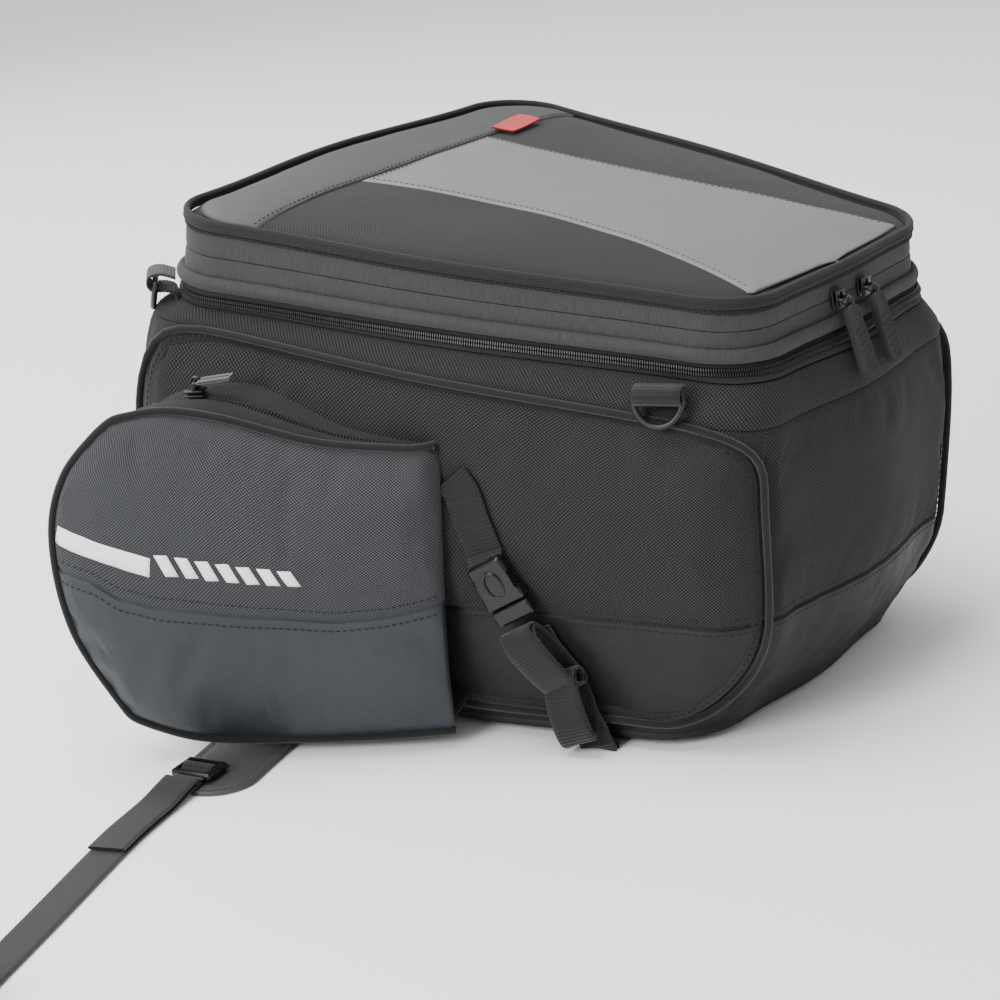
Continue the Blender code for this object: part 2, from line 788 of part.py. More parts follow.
def pocket_slider_place(side):
    """Its Z runs forward along the pocket's zip and its Y points into the pocket."""
    step = 0.02
    here = pocket_gusset(side, POCKET_SLIDER_S, POCKET_SLIDER_T)
    forward = here - pocket_gusset(side, POCKET_SLIDER_S + step, POCKET_SLIDER_T)
    inward = pocket_gusset(side, POCKET_SLIDER_S, POCKET_SLIDER_T + 0.1) - here
    up = inward.cross(forward).normalized()
    up = up if up.z > 0 else -up
    across = (-up).cross(forward).normalized()
    return basis(here + up * 1.0, across, forward)


def make_pocket_slider(side):
    name = SIDE_NAME[side]
    place = pocket_slider_place(side)
    zip_slider(f"pocket_slider_{name}", place)
    bar = place @ Matrix.Translation((0, -BRIDGE_OUT, 0))
    zip_pull(f"pocket_pull_{name}", bar, (10.0, 1.8, 24.0), POCKET_PULL_LEAN, "webbing")


# ---------------------------------------------------------------- D-rings for the shoulder strap

RING_WIRE_R = 1.6
RING_WIDTH = 25.0
RING_DROP = 15.0
RING_LEAN = 12.0
# u round the outline on the left side, v up the levels, and how far out of the bag
RINGS = {"rear": (0.385, SHOULDER + 0.3, 11.6), "front": (0.128, SHOULDER + 0.3, 12.2)}


def ring_place(end, side):
    """On the ring's bar: X along it, Y into the bag, Z up."""
    u, v, out = RINGS[end]
    point, normal = off_skin(u, v, out), skin_normal(u, v)
    mirror = Matrix.Diagonal((-side, 1, 1))
    point, normal = mirror @ point, mirror @ normal
    level_out = Vector((normal.x, normal.y, 0)).normalized()
    return basis(point, level_out.cross(Vector((0, 0, -1))), (0, 0, 1))


def make_ring(end, side):
    place = ring_place(end, side)
    name = f"{end}_{SIDE_NAME[side]}"
    sleeve_r, sleeve_wall, sleeve_length = 3.5, 1.4, 20.0

    def sleeve(s, t):
        angle = 2 * math.pi * s
        return place @ Vector(
            (sleeve_length * (t - 0.5), -sleeve_r * math.cos(angle), sleeve_r * math.sin(angle))
        )

    sheet(f"ring_loop_{name}", sleeve, (14, 1), sleeve_wall, "webbing", closed=True)
    tilt = place @ Matrix.Rotation(-math.radians(RING_LEAN), 4, "X")
    half = RING_WIDTH / 2
    outline = [Vector((half * math.cos(a), 0, -RING_DROP * math.sin(a))) for a in
               (math.pi * k / 12 for k in range(13))]
    outline += [Vector((-half / 3, 0, 0)), Vector((half / 3, 0, 0))]
    tube(f"d_ring_{name}", [tilt @ p for p in outline], RING_WIRE_R, "black_plastic", closed=True)


# ---------------------------------------------------------------- rear straps and their buckles

# Places down the side, as y, z and how far off it, from the pocket's rear edge to the base
STRAP_TOP = ((-13.0, 139.0, 3.0), (-17.0, 124.0, 3.0), (-22.5, 107.0, 3.0))
BUCKLE_TOP = (-23.0, 105.0)
BUCKLE_END = (-41.0, 69.0)
STRAP_LOW = ((-42.5, 66.0, 3.2), (-50.0, 50.0, 3.2), (-58.0, 30.0, 5.2), (-65.0, 13.0, 9.4))
STRAP_TUCK = 26.0  # how far the strap runs in under the base
BUCKLE_OUT = 7.0
SOCKET_SIZE = (24.0, 9.0, 25.0)
PLUG_TONGUE = (18.0, 4.4, 19.0)
PLUG_FOOT = (23.0, 8.0, 9.0)


def buckle_place(side):
    """In the middle of the buckle's top edge: X across, Y into the bag, Z up the strap."""
    (top, normal), (end, _) = (skin_at(*p, side) for p in (BUCKLE_TOP, BUCKLE_END))
    top, end = top + normal * BUCKLE_OUT, end + normal * BUCKLE_OUT
    up = (top - end).normalized()
    across = normal.cross(up)
    return basis(top, across, up)


def make_rear_strap(side):
    name = SIDE_NAME[side]

    def on_side(places, count):
        found = [(*skin_at(y, z, side), out) for y, z, out in places]
        return (
            smooth_route([p + n * out for p, n, out in found], count),
            smooth_route([n for _, n, _ in found], count),
        )

    points, normals = on_side(STRAP_TOP, 5)
    strap(f"rear_strap_upper_{name}", points, normals, WEBBING_WIDTH)
    points, normals = on_side(STRAP_LOW, 8)
    last, out = points[-1], Vector((normals[-1].x, normals[-1].y, 0)).normalized()
    inwards = Vector((-out.x, -out.y, 0))
    floor_z = 2.0
    corner = Vector((last.x, last.y - 3.0, floor_z + 1.0)) + inwards * 1.0
    points += [corner, corner + inwards * 6 - Vector((0, 0, 1.0))]
    points.append(Vector((corner.x, corner.y - 2.0, floor_z)) + inwards * STRAP_TUCK)
    normals += [(out - Vector((0, 0, 1))).normalized(), Vector((0, 0, -1)), Vector((0, 0, -1))]
    strap(f"rear_strap_lower_{name}", points, normals, WEBBING_WIDTH)
    make_buckle(side)


def make_buckle(side):
    name = SIDE_NAME[side]
    place = buckle_place(side)
    width, thick, length = SOCKET_SIZE
    socket = block(
        f"buckle_socket_{name}", SOCKET_SIZE, place @ Matrix.Translation((0, 0, -length / 2)), "black_plastic"
    )
    tongue_width, tongue_thick, tongue_length = PLUG_TONGUE
    cavity = block(
        f"buckle_cavity_{name}",
        (tongue_width + 1.2, tongue_thick + 1.0, length),
        place @ Matrix.Translation((0, 0, -length / 2 - 4.0)),
        "black_plastic",
        bevel=0,
    )
    combine(socket, "DIFFERENCE", cavity)
    foot_length = PLUG_FOOT[2]
    foot_z = -length - 0.5 - foot_length / 2
    plug = block(f"buckle_plug_{name}", PLUG_FOOT, place @ Matrix.Translation((0, 0, foot_z)), "black_plastic")
    tongue = block(
        f"buckle_tongue_{name}",
        (tongue_width, tongue_thick, tongue_length + 2.0),
        place @ Matrix.Translation((0, 0, -length - 0.5 + (tongue_length - 2.0) / 2)),
        "black_plastic",
        bevel=0.6,
    )
    combine(plug, "UNION", tongue)


# ---------------------------------------------------------------- front straps

TAB_THICK = 2.4
TAB_WIDTH = 46.0
TAB_START = Vector((-156.0, 110.0, 0.0))
TAB_END = Vector((-262.0, 84.0, 0.0))  # the middle of its round end is a half width short of this
ADJUSTER_AT = Vector((-246.0, 96.0, 0.0))
ADJUSTER_SIZE = (24.0, 18.0, 4.6)
# Each strap's way over the floor, from the adjuster out to its roll
STRAP_ROUTES = {
    LEFT: (
        (-257.0, 96.0, 5.6),
        (-268.0, 94.0, 4.6),
        (-284.0, 91.0, 2.4),
        (-315.0, 84.0, 2.1),
        (-350.0, 73.0, 2.1),
        (-383.0, 62.0, 2.1),
        (-420.0, 50.0, 2.1),
        (-456.0, 38.5, 2.1),
        (-488.0, 28.0, 2.1),
    ),
    RIGHT: (
        (257.0, 96.0, 5.6),
        (268.0, 94.0, 4.6),
        (284.0, 92.0, 2.4),
        (315.0, 95.0, 2.1),
        (350.0, 105.0, 2.1),
        (385.0, 119.0, 2.1),
        (420.0, 134.0, 2.1),
        (452.0, 149.0, 2.1),
        (482.0, 163.0, 2.1),
    ),
}
STRAP_LENGTH = 450.0
STRAP_POINTS = 22
ROLL_CORE = 8.0  # the inner radius of the rolled end
ROLL_PITCH = 3.0  # from one turn of the roll to the next


def mirrored(point, side):
    return Vector((-side * point[0], point[1], point[2]))


def make_front_strap(side):
    name = SIDE_NAME[side]
    make_front_tab(side)
    ahead = (Vector(STRAP_ROUTES[side][2]) - mirrored(ADJUSTER_AT, side)).xy.normalized().to_3d()
    across = Vector((-ahead.y, ahead.x, 0))
    place = basis(mirrored(ADJUSTER_AT, side) + Vector((0, 0, 6.6)), across, (0, 0, 1))
    block(f"front_adjuster_{name}", ADJUSTER_SIZE, place, "black_plastic", bevel=1.2)
    route = smooth_route([Vector(p) for p in STRAP_ROUTES[side]], STRAP_POINTS)
    up = [Vector((0, 0, 1))] * STRAP_POINTS
    laid = strap(f"front_strap_{name}", route, up, WEBBING_WIDTH)
    rolled = STRAP_LENGTH - sum((b - a).length for a, b in zip(route, route[1:]))
    combine(laid, "UNION", rolled_end(f"front_roll_{name}", route, rolled))


def rolled_end(name, route, length):
    """The solid of the strap's far end, rolled up on its last point."""
    radius = math.sqrt(ROLL_CORE**2 + length * ROLL_PITCH / math.pi)
    ahead = (route[-1] - route[-2]).normalized()
    across = Vector((-ahead.y, ahead.x, 0))
    centre = Vector((route[-1].x, route[-1].y, route[-1].z - WEBBING_THICK + radius))
    bm = bmesh.new()
    bmesh.ops.create_cone(
        bm, cap_ends=True, segments=24, radius1=radius * MM, radius2=radius * MM, depth=WEBBING_WIDTH * MM
    )
    roll = finish_mesh(name, bm, "webbing")
    roll.matrix_world = in_metres(basis(centre, (0, 0, 1), across))
    return roll


def make_front_tab(side):
    """A coated tab with a round end, sewn under the base's edge."""
    axis = TAB_END - TAB_START
    ahead = axis.normalized()
    across = Vector((-ahead.y, ahead.x, 0))
    half = TAB_WIDTH / 2
    centre = TAB_END - ahead * half
    outline = [TAB_START - across * half]
    for k in range(13):
        angle = math.pi * (k / 12 - 0.5)
        outline.append(centre + (ahead * math.cos(angle) + across * math.sin(angle)) * half)
    outline.append(TAB_START + across * half)
    bm = bmesh.new()
    z = Vector((0, 0, 0.3 + TAB_THICK))
    verts = [bm.verts.new((mirrored(p, side) + z) * MM) for p in outline]
    face = bm.faces.new(verts)
    face.normal_update()
    if face.normal.z < 0:
        face.normal_flip()
    obj = finish_mesh(f"front_tab_{SIDE_NAME[side]}", bm, "coated_fabric")
    shell = obj.modifiers.new("thickness", "SOLIDIFY")
    shell.thickness = TAB_THICK * MM
    shell.offset = -1


def main():
    clear_scene()
    new_collection("tail_bag")
    new_collection("helpers").hide_render = True
    make_base()
    make_panels()
    make_tiers()
    make_lid()
    make_main_sliders()
    make_expansion_slider()
    for side in (LEFT, RIGHT):
        make_pocket(side)
        for end in RINGS:
            make_ring(end, side)
        make_rear_strap(side)
        make_front_strap(side)


main()
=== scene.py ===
"""The looks of a soft tail bag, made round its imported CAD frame.

+Y is forward and +Z is up. Sizes and places are in millimetres until a mesh is made.
"""

import json
import math
from functools import lru_cache
from typing import NamedTuple

import bmesh
import bpy
from mathutils import Matrix, Vector, noise

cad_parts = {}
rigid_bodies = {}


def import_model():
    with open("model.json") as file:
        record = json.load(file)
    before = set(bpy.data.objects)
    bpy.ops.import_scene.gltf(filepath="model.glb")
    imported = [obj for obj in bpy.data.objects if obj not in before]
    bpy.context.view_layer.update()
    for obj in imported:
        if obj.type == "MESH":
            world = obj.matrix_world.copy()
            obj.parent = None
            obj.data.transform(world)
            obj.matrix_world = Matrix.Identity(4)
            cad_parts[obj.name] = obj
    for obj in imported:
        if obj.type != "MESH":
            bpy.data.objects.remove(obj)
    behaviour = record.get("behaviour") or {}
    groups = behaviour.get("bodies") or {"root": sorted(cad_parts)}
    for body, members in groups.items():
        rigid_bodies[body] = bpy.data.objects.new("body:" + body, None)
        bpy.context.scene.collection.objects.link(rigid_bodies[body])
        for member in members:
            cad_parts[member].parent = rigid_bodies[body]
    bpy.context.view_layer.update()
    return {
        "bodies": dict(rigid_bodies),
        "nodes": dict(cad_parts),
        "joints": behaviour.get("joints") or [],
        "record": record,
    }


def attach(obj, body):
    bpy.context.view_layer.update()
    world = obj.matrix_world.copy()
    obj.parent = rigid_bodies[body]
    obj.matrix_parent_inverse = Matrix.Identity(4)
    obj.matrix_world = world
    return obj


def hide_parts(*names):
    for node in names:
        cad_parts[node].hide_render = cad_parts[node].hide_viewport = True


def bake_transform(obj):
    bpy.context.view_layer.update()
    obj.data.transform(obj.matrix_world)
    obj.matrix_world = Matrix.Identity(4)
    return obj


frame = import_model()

MM = 0.001
LEFT, RIGHT = -1, 1
SIDES = {"left": LEFT, "right": RIGHT}
UP = Vector((0, 0, 1))

# ---------------------------------------------------------------- the bag's outer surface, as in CAD


class Level(NamedTuple):
    """One horizontal outline of the bag: a tapered rectangle with round corners and bowed sides."""

    z_front: float
    z_rear: float
    half_front: float
    half_rear: float
    y_front: float
    y_rear: float
    r_front: float
    r_rear: float
    bow_side: float
    bow_front: float
    bow_rear: float


LEVELS = (
    Level(8, 8, 140, 110, 143, -124, 45, 45, 6, 8, 6),
    Level(79, 72, 168, 108, 165, -156, 42, 38, 8, 10, 8),
    Level(154, 139, 192, 112, 188, -160, 34, 38, 0, 12, 8),
    Level(222, 173, 172, 106, 180, -161, 26, 36, 7, 10, 6),
    Level(228, 193, 163, 93, 170, -156, 28, 34, 7, 10, 6),
    Level(241, 206, 162, 92, 168, -151, 30, 36, 5, 10, 3),
    Level(272, 232, 160, 92, 164, -151, 32, 36, 6, 9, 2),
)
BASE, SKIRT_SEAM, WIDEST, SHOULDER, EXPANSION_ZIP, FOLD, LID_EDGE = range(7)
LID_ZIP = 5.5
FRONT_ARC, REAR_ARC = (0.11, 0.17), (0.40, 0.46)  # where the outline's round corners begin and end
FRONT_SEAM, REAR_SEAM = 0.14, 0.445  # where the side panel meets the front and rear panels
LID_MIDDLE_Y = 4.0
LID_CROWN = 9.0
LID_SEAM_Y = 107.0


def smoothstep(low, high, x):
    t = min(max((x - low) / (high - low), 0.0), 1.0)
    return t * t * (3 - 2 * t)


def halved(low, high, below, steps=20):
    """Where below stops being true between low and high."""
    for _ in range(steps):
        middle = (low + high) / 2
        low, high = (middle, high) if below(middle) else (low, middle)
    return middle


def monotone(values, v):
    """A smooth curve through the values at v = 0, 1, 2 ... that never overshoots them."""
    i = min(max(int(v), 0), len(values) - 2)
    t = v - i
    steps = [b - a for a, b in zip(values, values[1:])]

    def slope(k):
        if k in (0, len(values) - 1):
            return steps[0] if k == 0 else steps[-1]
        a, b = steps[k - 1], steps[k]
        return 0.0 if a * b <= 0 else 2 * a * b / (a + b)

    h = t * t * (3 - 2 * t)
    return (
        values[i] * (1 - h)
        + values[i + 1] * h
        + slope(i) * t * (1 - t) ** 2
        - slope(i + 1) * t * t * (1 - t)
    )


@lru_cache(maxsize=None)
def level_at(v):
    return Level(*(monotone([level[k] for level in LEVELS], v) for k in range(len(Level._fields))))


def outline_point(level, u):
    """(x, y) at the fraction u of the way round, from the middle of the front by the left side."""
    if u > 0.5:
        x, y = outline_point(level, 1 - u)
        return -x, y
    run = level.y_front - level.y_rear
    taper = math.atan2(level.half_front - level.half_rear, run)

    def corner(y, r):
        edge = -level.half_front + (level.half_front - level.half_rear) * (level.y_front - y) / run
        return Vector((edge + r / math.cos(taper), y))

    def on_arc(centre, r, angle):
        return centre + r * Vector((math.cos(angle), math.sin(angle)))

    front = corner(level.y_front - level.r_front, level.r_front)
    rear = corner(level.y_rear + level.r_rear, level.r_rear)
    side_angle = math.pi + taper
    if u < FRONT_ARC[0]:
        t = u / FRONT_ARC[0]
        return front.x * t, level.y_front + level.bow_front * math.cos(math.pi / 2 * t) ** 2
    if u < FRONT_ARC[1]:
        t = (u - FRONT_ARC[0]) / (FRONT_ARC[1] - FRONT_ARC[0])
        p = on_arc(front, level.r_front, math.pi / 2 + t * (side_angle - math.pi / 2))
        return p.x, p.y
    if u < REAR_ARC[0]:
        t = (u - FRONT_ARC[1]) / (REAR_ARC[0] - FRONT_ARC[1])
        p = on_arc(front, level.r_front, side_angle).lerp(on_arc(rear, level.r_rear, side_angle), t)
        return p.x - level.bow_side * math.sin(math.pi * t) ** 2, p.y
    if u < REAR_ARC[1]:
        t = (u - REAR_ARC[0]) / (REAR_ARC[1] - REAR_ARC[0])
        p = on_arc(rear, level.r_rear, side_angle + t * (1.5 * math.pi - side_angle))
        return p.x, p.y
    t = (u - REAR_ARC[1]) / (0.5 - REAR_ARC[1])
    return rear.x * (1 - t), level.y_rear - level.bow_rear * math.sin(math.pi / 2 * t) ** 2


def skin(u, v):
    """The point of the bag's outer surface at u round the outline and v up the levels."""
    level = level_at(round(v, 5))
    x, y = outline_point(level, u % 1.0)
    up = (y - level.y_rear) / (level.y_front - level.y_rear)
    return Vector((x, y, level.z_rear + (level.z_front - level.z_rear) * up))


def skin_normal(u, v):
    du, dv = 0.002, 0.02
    v = min(max(v, dv), LID_EDGE - dv)
    across = skin(u + du, v) - skin(u - du, v)
    return across.cross(skin(u, v + dv) - skin(u, v - dv)).normalized()


def off_skin(u, v, out):
    return skin(u, v) + skin_normal(u, v) * out


def skin_at(y, z, sign):
    """The point of the left or right surface at this y and z, and its normal."""
    u, v = (FRONT_ARC[1] + REAR_ARC[0]) / 2, 1.5
    for _ in range(3):
        v = halved(0.0, LID_EDGE, lambda v: skin(u, v).z < z)
        u = halved(0.05, 0.45, lambda u: skin(u, v).y > y)
    point, normal = skin(u, v), skin_normal(u, v)
    mirror = Matrix.Diagonal((-sign, 1, 1))
    return mirror @ point, mirror @ normal


def lid_plane(y):
    """The height of the lid's sloping edge at y."""
    level = LEVELS[LID_EDGE]
    along = (y - level.y_rear) / (level.y_front - level.y_rear)
    return level.z_rear + (level.z_front - level.z_rear) * along


def lid_surface(s, k):
    """The lid's top: round its edge by s, and from the middle out to the edge by k."""
    rim = skin(s, LID_EDGE)
    y = LID_MIDDLE_Y + (rim.y - LID_MIDDLE_Y) * k
    return Vector((rim.x * k, y, lid_plane(y) + LID_CROWN * (1 - k**3)))


def lid_height(x, y):
    """The height of the lid's top over (x, y)."""

    def turned(x, y):
        return math.atan2(-x, y - LID_MIDDLE_Y) % (2 * math.pi)

    rim = skin(halved(0.0, 1.0, lambda u: turned(*skin(u, LID_EDGE).xy) < turned(x, y)), LID_EDGE)
    k = math.hypot(x, y - LID_MIDDLE_Y) / math.hypot(rim.x, rim.y - LID_MIDDLE_Y)
    return lid_plane(y) + LID_CROWN * (1 - min(k, 1.0) ** 3)


# ---------------------------------------------------------------- small geometry helpers


def crease(point, size, seed=0.0):
    """Soft cloth unevenness of about -1 to 1, with features of this size."""
    return noise.fractal(point / size + Vector((seed, 3.7 * seed, 0)), 0.9, 2.0, 3)


def curve_between(a, b, c, d, t):
    """From b to c as t goes from 0 to 1, on a smooth curve that also passes through a and d."""
    line = 2 * b + (c - a) * t
    return 0.5 * (line + (2 * a - 5 * b + 4 * c - d) * t * t + (3 * b - a - 3 * c + d) * t**3)


def smooth_route(points, count):
    """count points along a smooth curve through the given ones."""
    points = [Vector(p) for p in points]
    ends = [2 * points[0] - points[1], *points, 2 * points[-1] - points[-2]]
    made = []
    for k in range(count):
        s = k / (count - 1) * (len(points) - 1)
        i = min(int(s), len(points) - 2)
        made.append(curve_between(*ends[i : i + 4], s - i))
    return made


def run_length(points):
    return sum((b - a).length for a, b in zip(points, points[1:]))


def heading(path, k, closed=False, reach=1):
    """The way the path goes at its point k, from the points before and after it."""
    if closed:
        return path[(k + reach) % len(path)] - path[k - reach]
    return path[min(k + reach, len(path) - 1)] - path[max(k - reach, 0)]


def respaced(points, step, closed=False):
    """The same line with its points this far apart."""
    line = [*points, points[0]] if closed else list(points)
    total = run_length(line)
    count = max(2, round(total / step))
    made, i, passed = [], 0, 0.0
    for k in range(count if closed else count + 1):
        want = total * k / count
        while i < len(line) - 2 and passed + (line[i + 1] - line[i]).length < want:
            passed += (line[i + 1] - line[i]).length
            i += 1
        part = (line[i + 1] - line[i]).length
        made.append(line[i].lerp(line[i + 1], min((want - passed) / part if part else 0.0, 1.0)))
    return made


def basis(origin, x, z):
    """A placement with its X along x and its Z near z."""
    x = Vector(x).normalized()
    y = Vector(z).cross(x).normalized()
    return Matrix.Translation(Vector(origin)) @ Matrix((x, y, x.cross(y))).transposed().to_4x4()


def shifted(place, x, y, z):
    """The placement moved along its own axes."""
    return place @ Matrix.Translation((x, y, z))


def round_angles(count):
    return [2 * math.pi * k / count for k in range(count)]


def finish_piece(name, bm, finishes, smooth_angle=40):
    mesh = bpy.data.meshes.new(name)
    bm.to_mesh(mesh)
    bm.free()
    mesh.transform(Matrix.Diagonal((MM, MM, MM, 1)))
    mesh.shade_smooth()
    mesh.set_sharp_from_angle(angle=math.radians(smooth_angle))
    obj = bpy.data.objects.new(name, mesh)
    bpy.context.scene.collection.objects.link(obj)
    for finish in finishes if isinstance(finishes, (list, tuple)) else [finishes]:
        mesh.materials.append(bpy.data.materials[finish])
    return obj


def skinned(name, bm, stacks, finish, smooth_angle=40):
    """A closed piece for each stack of rings, with faces from ring to ring and over both ends."""
    for rings in stacks:
        for low, high in zip(rings, rings[1:]):
            for j in range(len(low)):
                after = (j + 1) % len(low)
                bm.faces.new((low[j], low[after], high[after], high[j]))
        bm.faces.new(rings[0][::-1])
        bm.faces.new(rings[-1])
    bmesh.ops.recalc_face_normals(bm, faces=bm.faces)
    for layer in bm.loops.layers.uv:
        for face in bm.faces:
            for loop in face.loops:
                loop[layer].uv = loop.vert.co.xy * MM
    return finish_piece(name, bm, finish, smooth_angle)


def lattice(name, points, finishes, closed_u=False, closed_v=False, caps=False, slot_of=None, face_out=None):
    """A grid of quads through points[i][j], with UVs in metres along and across it.

    slot_of(i, j) picks a quad's finish. The faces turn away from the point face_out.
    """
    nu, nv = len(points), len(points[0])
    bm = bmesh.new()
    uv = bm.loops.layers.uv.new("UVMap")
    verts = [[bm.verts.new(p) for p in row] for row in points]
    middle, along = nv // 2, [0.0]
    for i in range(nu):
        along.append(along[-1] + (points[(i + 1) % nu][middle] - points[i][middle]).length * MM)
    row, across = points[nu // 2], [0.0]
    for j in range(nv):
        across.append(across[-1] + (row[(j + 1) % nv] - row[j]).length * MM)
    for i in range(nu if closed_u else nu - 1):
        for j in range(nv if closed_v else nv - 1):
            a, b = (i + 1) % nu, (j + 1) % nv
            face = bm.faces.new((verts[i][j], verts[a][j], verts[a][b], verts[i][b]))
            spots = ((i, j), (i + 1, j), (i + 1, j + 1), (i, j + 1))
            for loop, (p, q) in zip(face.loops, spots):
                loop[uv].uv = (along[p], across[q])
            if slot_of:
                face.material_index = slot_of(i, j)
    if caps:
        for row in (verts[0], verts[-1]):
            bm.faces.new(row)
    if caps or (closed_u and closed_v):
        bmesh.ops.recalc_face_normals(bm, faces=bm.faces)
    elif face_out is not None:
        bm.normal_update()
        facing = sum(f.normal.dot(f.calc_center_median() - face_out) for f in bm.faces)
        if facing < 0:
            bmesh.ops.reverse_faces(bm, faces=bm.faces)
    return finish_piece(name, bm, finishes)


def thicken(obj, thickness, inside=0, rim=0):
    """Gives the cloth its thickness. inside and rim count on to the finish of those faces."""
    shell = obj.modifiers.new("thickness", "SOLIDIFY")
    shell.thickness, shell.offset = thickness * MM, -1
    shell.material_offset, shell.material_offset_rim = inside, rim


def apply_modifiers(obj):
    """The object with its modifiers made part of its mesh."""
    bpy.context.view_layer.update()
    graph = bpy.context.evaluated_depsgraph_get()
    obj.data = bpy.data.meshes.new_from_object(obj.evaluated_get(graph))
    obj.modifiers.clear()
    return obj


def sweep(name, path, outs, profile, finish, closed=False):
    """A closed profile, as (across, out) points, carried along the path. outs face out of it."""
    rows = []
    for k, point in enumerate(path):
        along = heading(path, k, closed)
        side = outs[k].cross(along).normalized()
        out = along.normalized().cross(side)
        shape = profile(k) if callable(profile) else profile
        rows.append([point + side * a + out * b for a, b in shape])
    return lattice(name, rows, finish, closed_u=closed, closed_v=True, caps=not closed)


def circle(radius, count, squash=1.0):
    return [(radius * math.cos(a), radius * squash * math.sin(a)) for a in round_angles(count)]


def flat_profile(width, thick, steps=8):
    """The cross-section of webbing or tape, from its underside at out = 0 up to thick."""
    half, r = width / 2, thick * 0.5
    top = [(-half + r + (width - 2 * r) * k / steps, thick) for k in range(steps + 1)]
    low = [(half - r - (width - 2 * r) * k / steps, 0.0) for k in range(steps + 1)]
    right, left = ([(x, thick * 0.65), (x, thick * 0.35)] for x in (half, -half))
    return [*top, *right, *low, *left[::-1]]


def joined(name, objs):
    """Several pieces made one, with their own materials."""
    with bpy.context.temp_override(active_object=objs[0], selected_editable_objects=objs):
        bpy.ops.object.join()
    objs[0].name = name
    return objs[0]


def soft_block(name, size, place, finish, bevel=0.8, segments=3, taper=None):
    """A box with rounded edges, centred on place. taper moves its corners, as (x, y, z) to (x, y, z)."""
    bm = bmesh.new()
    bmesh.ops.create_cube(bm, size=1)
    for vert in bm.verts:
        vert.co = Vector([c * s for c, s in zip(vert.co, size)])
        if taper:
            vert.co = Vector(taper(*vert.co))
    how = {"affect": "EDGES", "profile": 0.5, "clamp_overlap": True}
    bmesh.ops.bevel(bm, geom=bm.edges[:], offset=bevel, segments=segments, **how)
    bm.transform(place)
    return finish_piece(name, bm, finish, 30)


def put(obj, body, slot, *nodes):
    """obj rides on the body and stands for the CAD nodes, which are hidden. slot is not used."""
    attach(obj, body)
    if nodes:
        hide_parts(*nodes)
    return obj


STITCH_PITCH = 3.6
STITCH_LENGTH = 2.5


def stitches(name, path, outs, body, finish="thread", closed=False, radius=0.26):
    """A row of lock stitches along the path, each a short thread that dips into the cloth at its ends."""
    total = run_length([*path, path[0]] if closed else path)
    spots = respaced(path, STITCH_PITCH, closed)
    bm, stacks = bmesh.new(), []
    for k, spot in enumerate(spots if closed else spots[:-1]):
        ahead = (spots[(k + 1) % len(spots)] - spot).normalized()
        near = min(int(k * STITCH_PITCH / total * len(path)), len(path) - 1)
        out = outs[near]
        side = out.cross(ahead).normalized()
        out = ahead.cross(side)
        rings = []
        for along, lift, r in ((0, -0.15, 0.35), (0.25, 0.2, 1), (0.75, 0.2, 1), (1, -0.15, 0.35)):
            centre = spot + ahead * (STITCH_LENGTH * along) + out * lift
            spokes = (side * math.cos(a) + out * math.sin(a) for a in round_angles(6))
            rings.append([bm.verts.new(centre + spoke * radius * r) for spoke in spokes])
        stacks.append(rings)
    put(skinned(name, bm, stacks, finish, 80), body, "webbing")


def settled(grid, middle, sewn, pressure, most, ease=0.010):
    """The grid as cloth held where sewn(i, j) is true and pushed out by its filling.

    Also how far each point moved, which is never more than most.
    """
    nu, nv = len(grid), len(grid[0])
    mesh = bpy.data.meshes.new("cloth")
    corners = [i * nv + j for i in range(nu - 1) for j in range(nv - 1)]
    quads = [(k, k + nv, k + nv + 1, k + 1) for k in corners]
    mesh.from_pydata([point * MM for row in grid for point in row], [], quads)
    if sum(face.normal.dot(face.center - middle * MM) for face in mesh.polygons) < 0:
        mesh.flip_normals()
    obj = bpy.data.objects.new("cloth", mesh)
    scene = bpy.context.scene
    scene.collection.objects.link(obj)
    group = obj.vertex_groups.new(name="sewn")
    group.add([i * nv + j for i in range(nu) for j in range(nv) if sewn(i, j)], 1.0, "REPLACE")
    cloth = obj.modifiers.new("cloth", "CLOTH")
    settings = cloth.settings
    settings.quality, settings.mass, settings.air_damping = 5, 0.2, 3.0
    settings.tension_stiffness = settings.compression_stiffness = 15
    settings.shear_stiffness, settings.bending_stiffness = 5, 0.6
    settings.vertex_group_mass, settings.pin_stiffness = "sewn", 1.0
    settings.shrink_min = -ease
    settings.use_pressure, settings.uniform_pressure_force = True, pressure
    settings.effector_weights.gravity = 0
    cloth.collision_settings.use_collision = False
    cloth.point_cache.frame_end = 20
    for frame_number in range(1, 19):
        scene.frame_set(frame_number)
    shape = obj.evaluated_get(bpy.context.evaluated_depsgraph_get()).to_mesh()

    def capped(shift):
        far = shift.length
        return shift * (most * math.tanh(far / most) / far) if far > 1e-4 else Vector()

    moved = [[capped(shape.vertices[i * nv + j].co / MM - grid[i][j]) for j in range(nv)] for i in range(nu)]
    bpy.data.objects.remove(obj)
    scene.frame_set(1)
    return [[p + d for p, d in zip(*rows)] for rows in zip(grid, moved)], moved


# ---------------------------------------------------------------- materials


class Value:
    """A node's output, which can be added, multiplied and so on."""

    def __init__(self, shade, socket):
        self.shade, self.socket = shade, socket

    def __add__(self, other):
        return self.shade.math("ADD", self, other)

    def __sub__(self, other):
        return self.shade.math("SUBTRACT", self, other)

    def __rsub__(self, other):
        return self.shade.math("SUBTRACT", other, self)

    def __mul__(self, other):
        return self.shade.math("MULTIPLY", self, other)

    def __truediv__(self, other):
        return self.shade.math("DIVIDE", self, other)

    def __pow__(self, other):
        return self.shade.math("POWER", self, other)


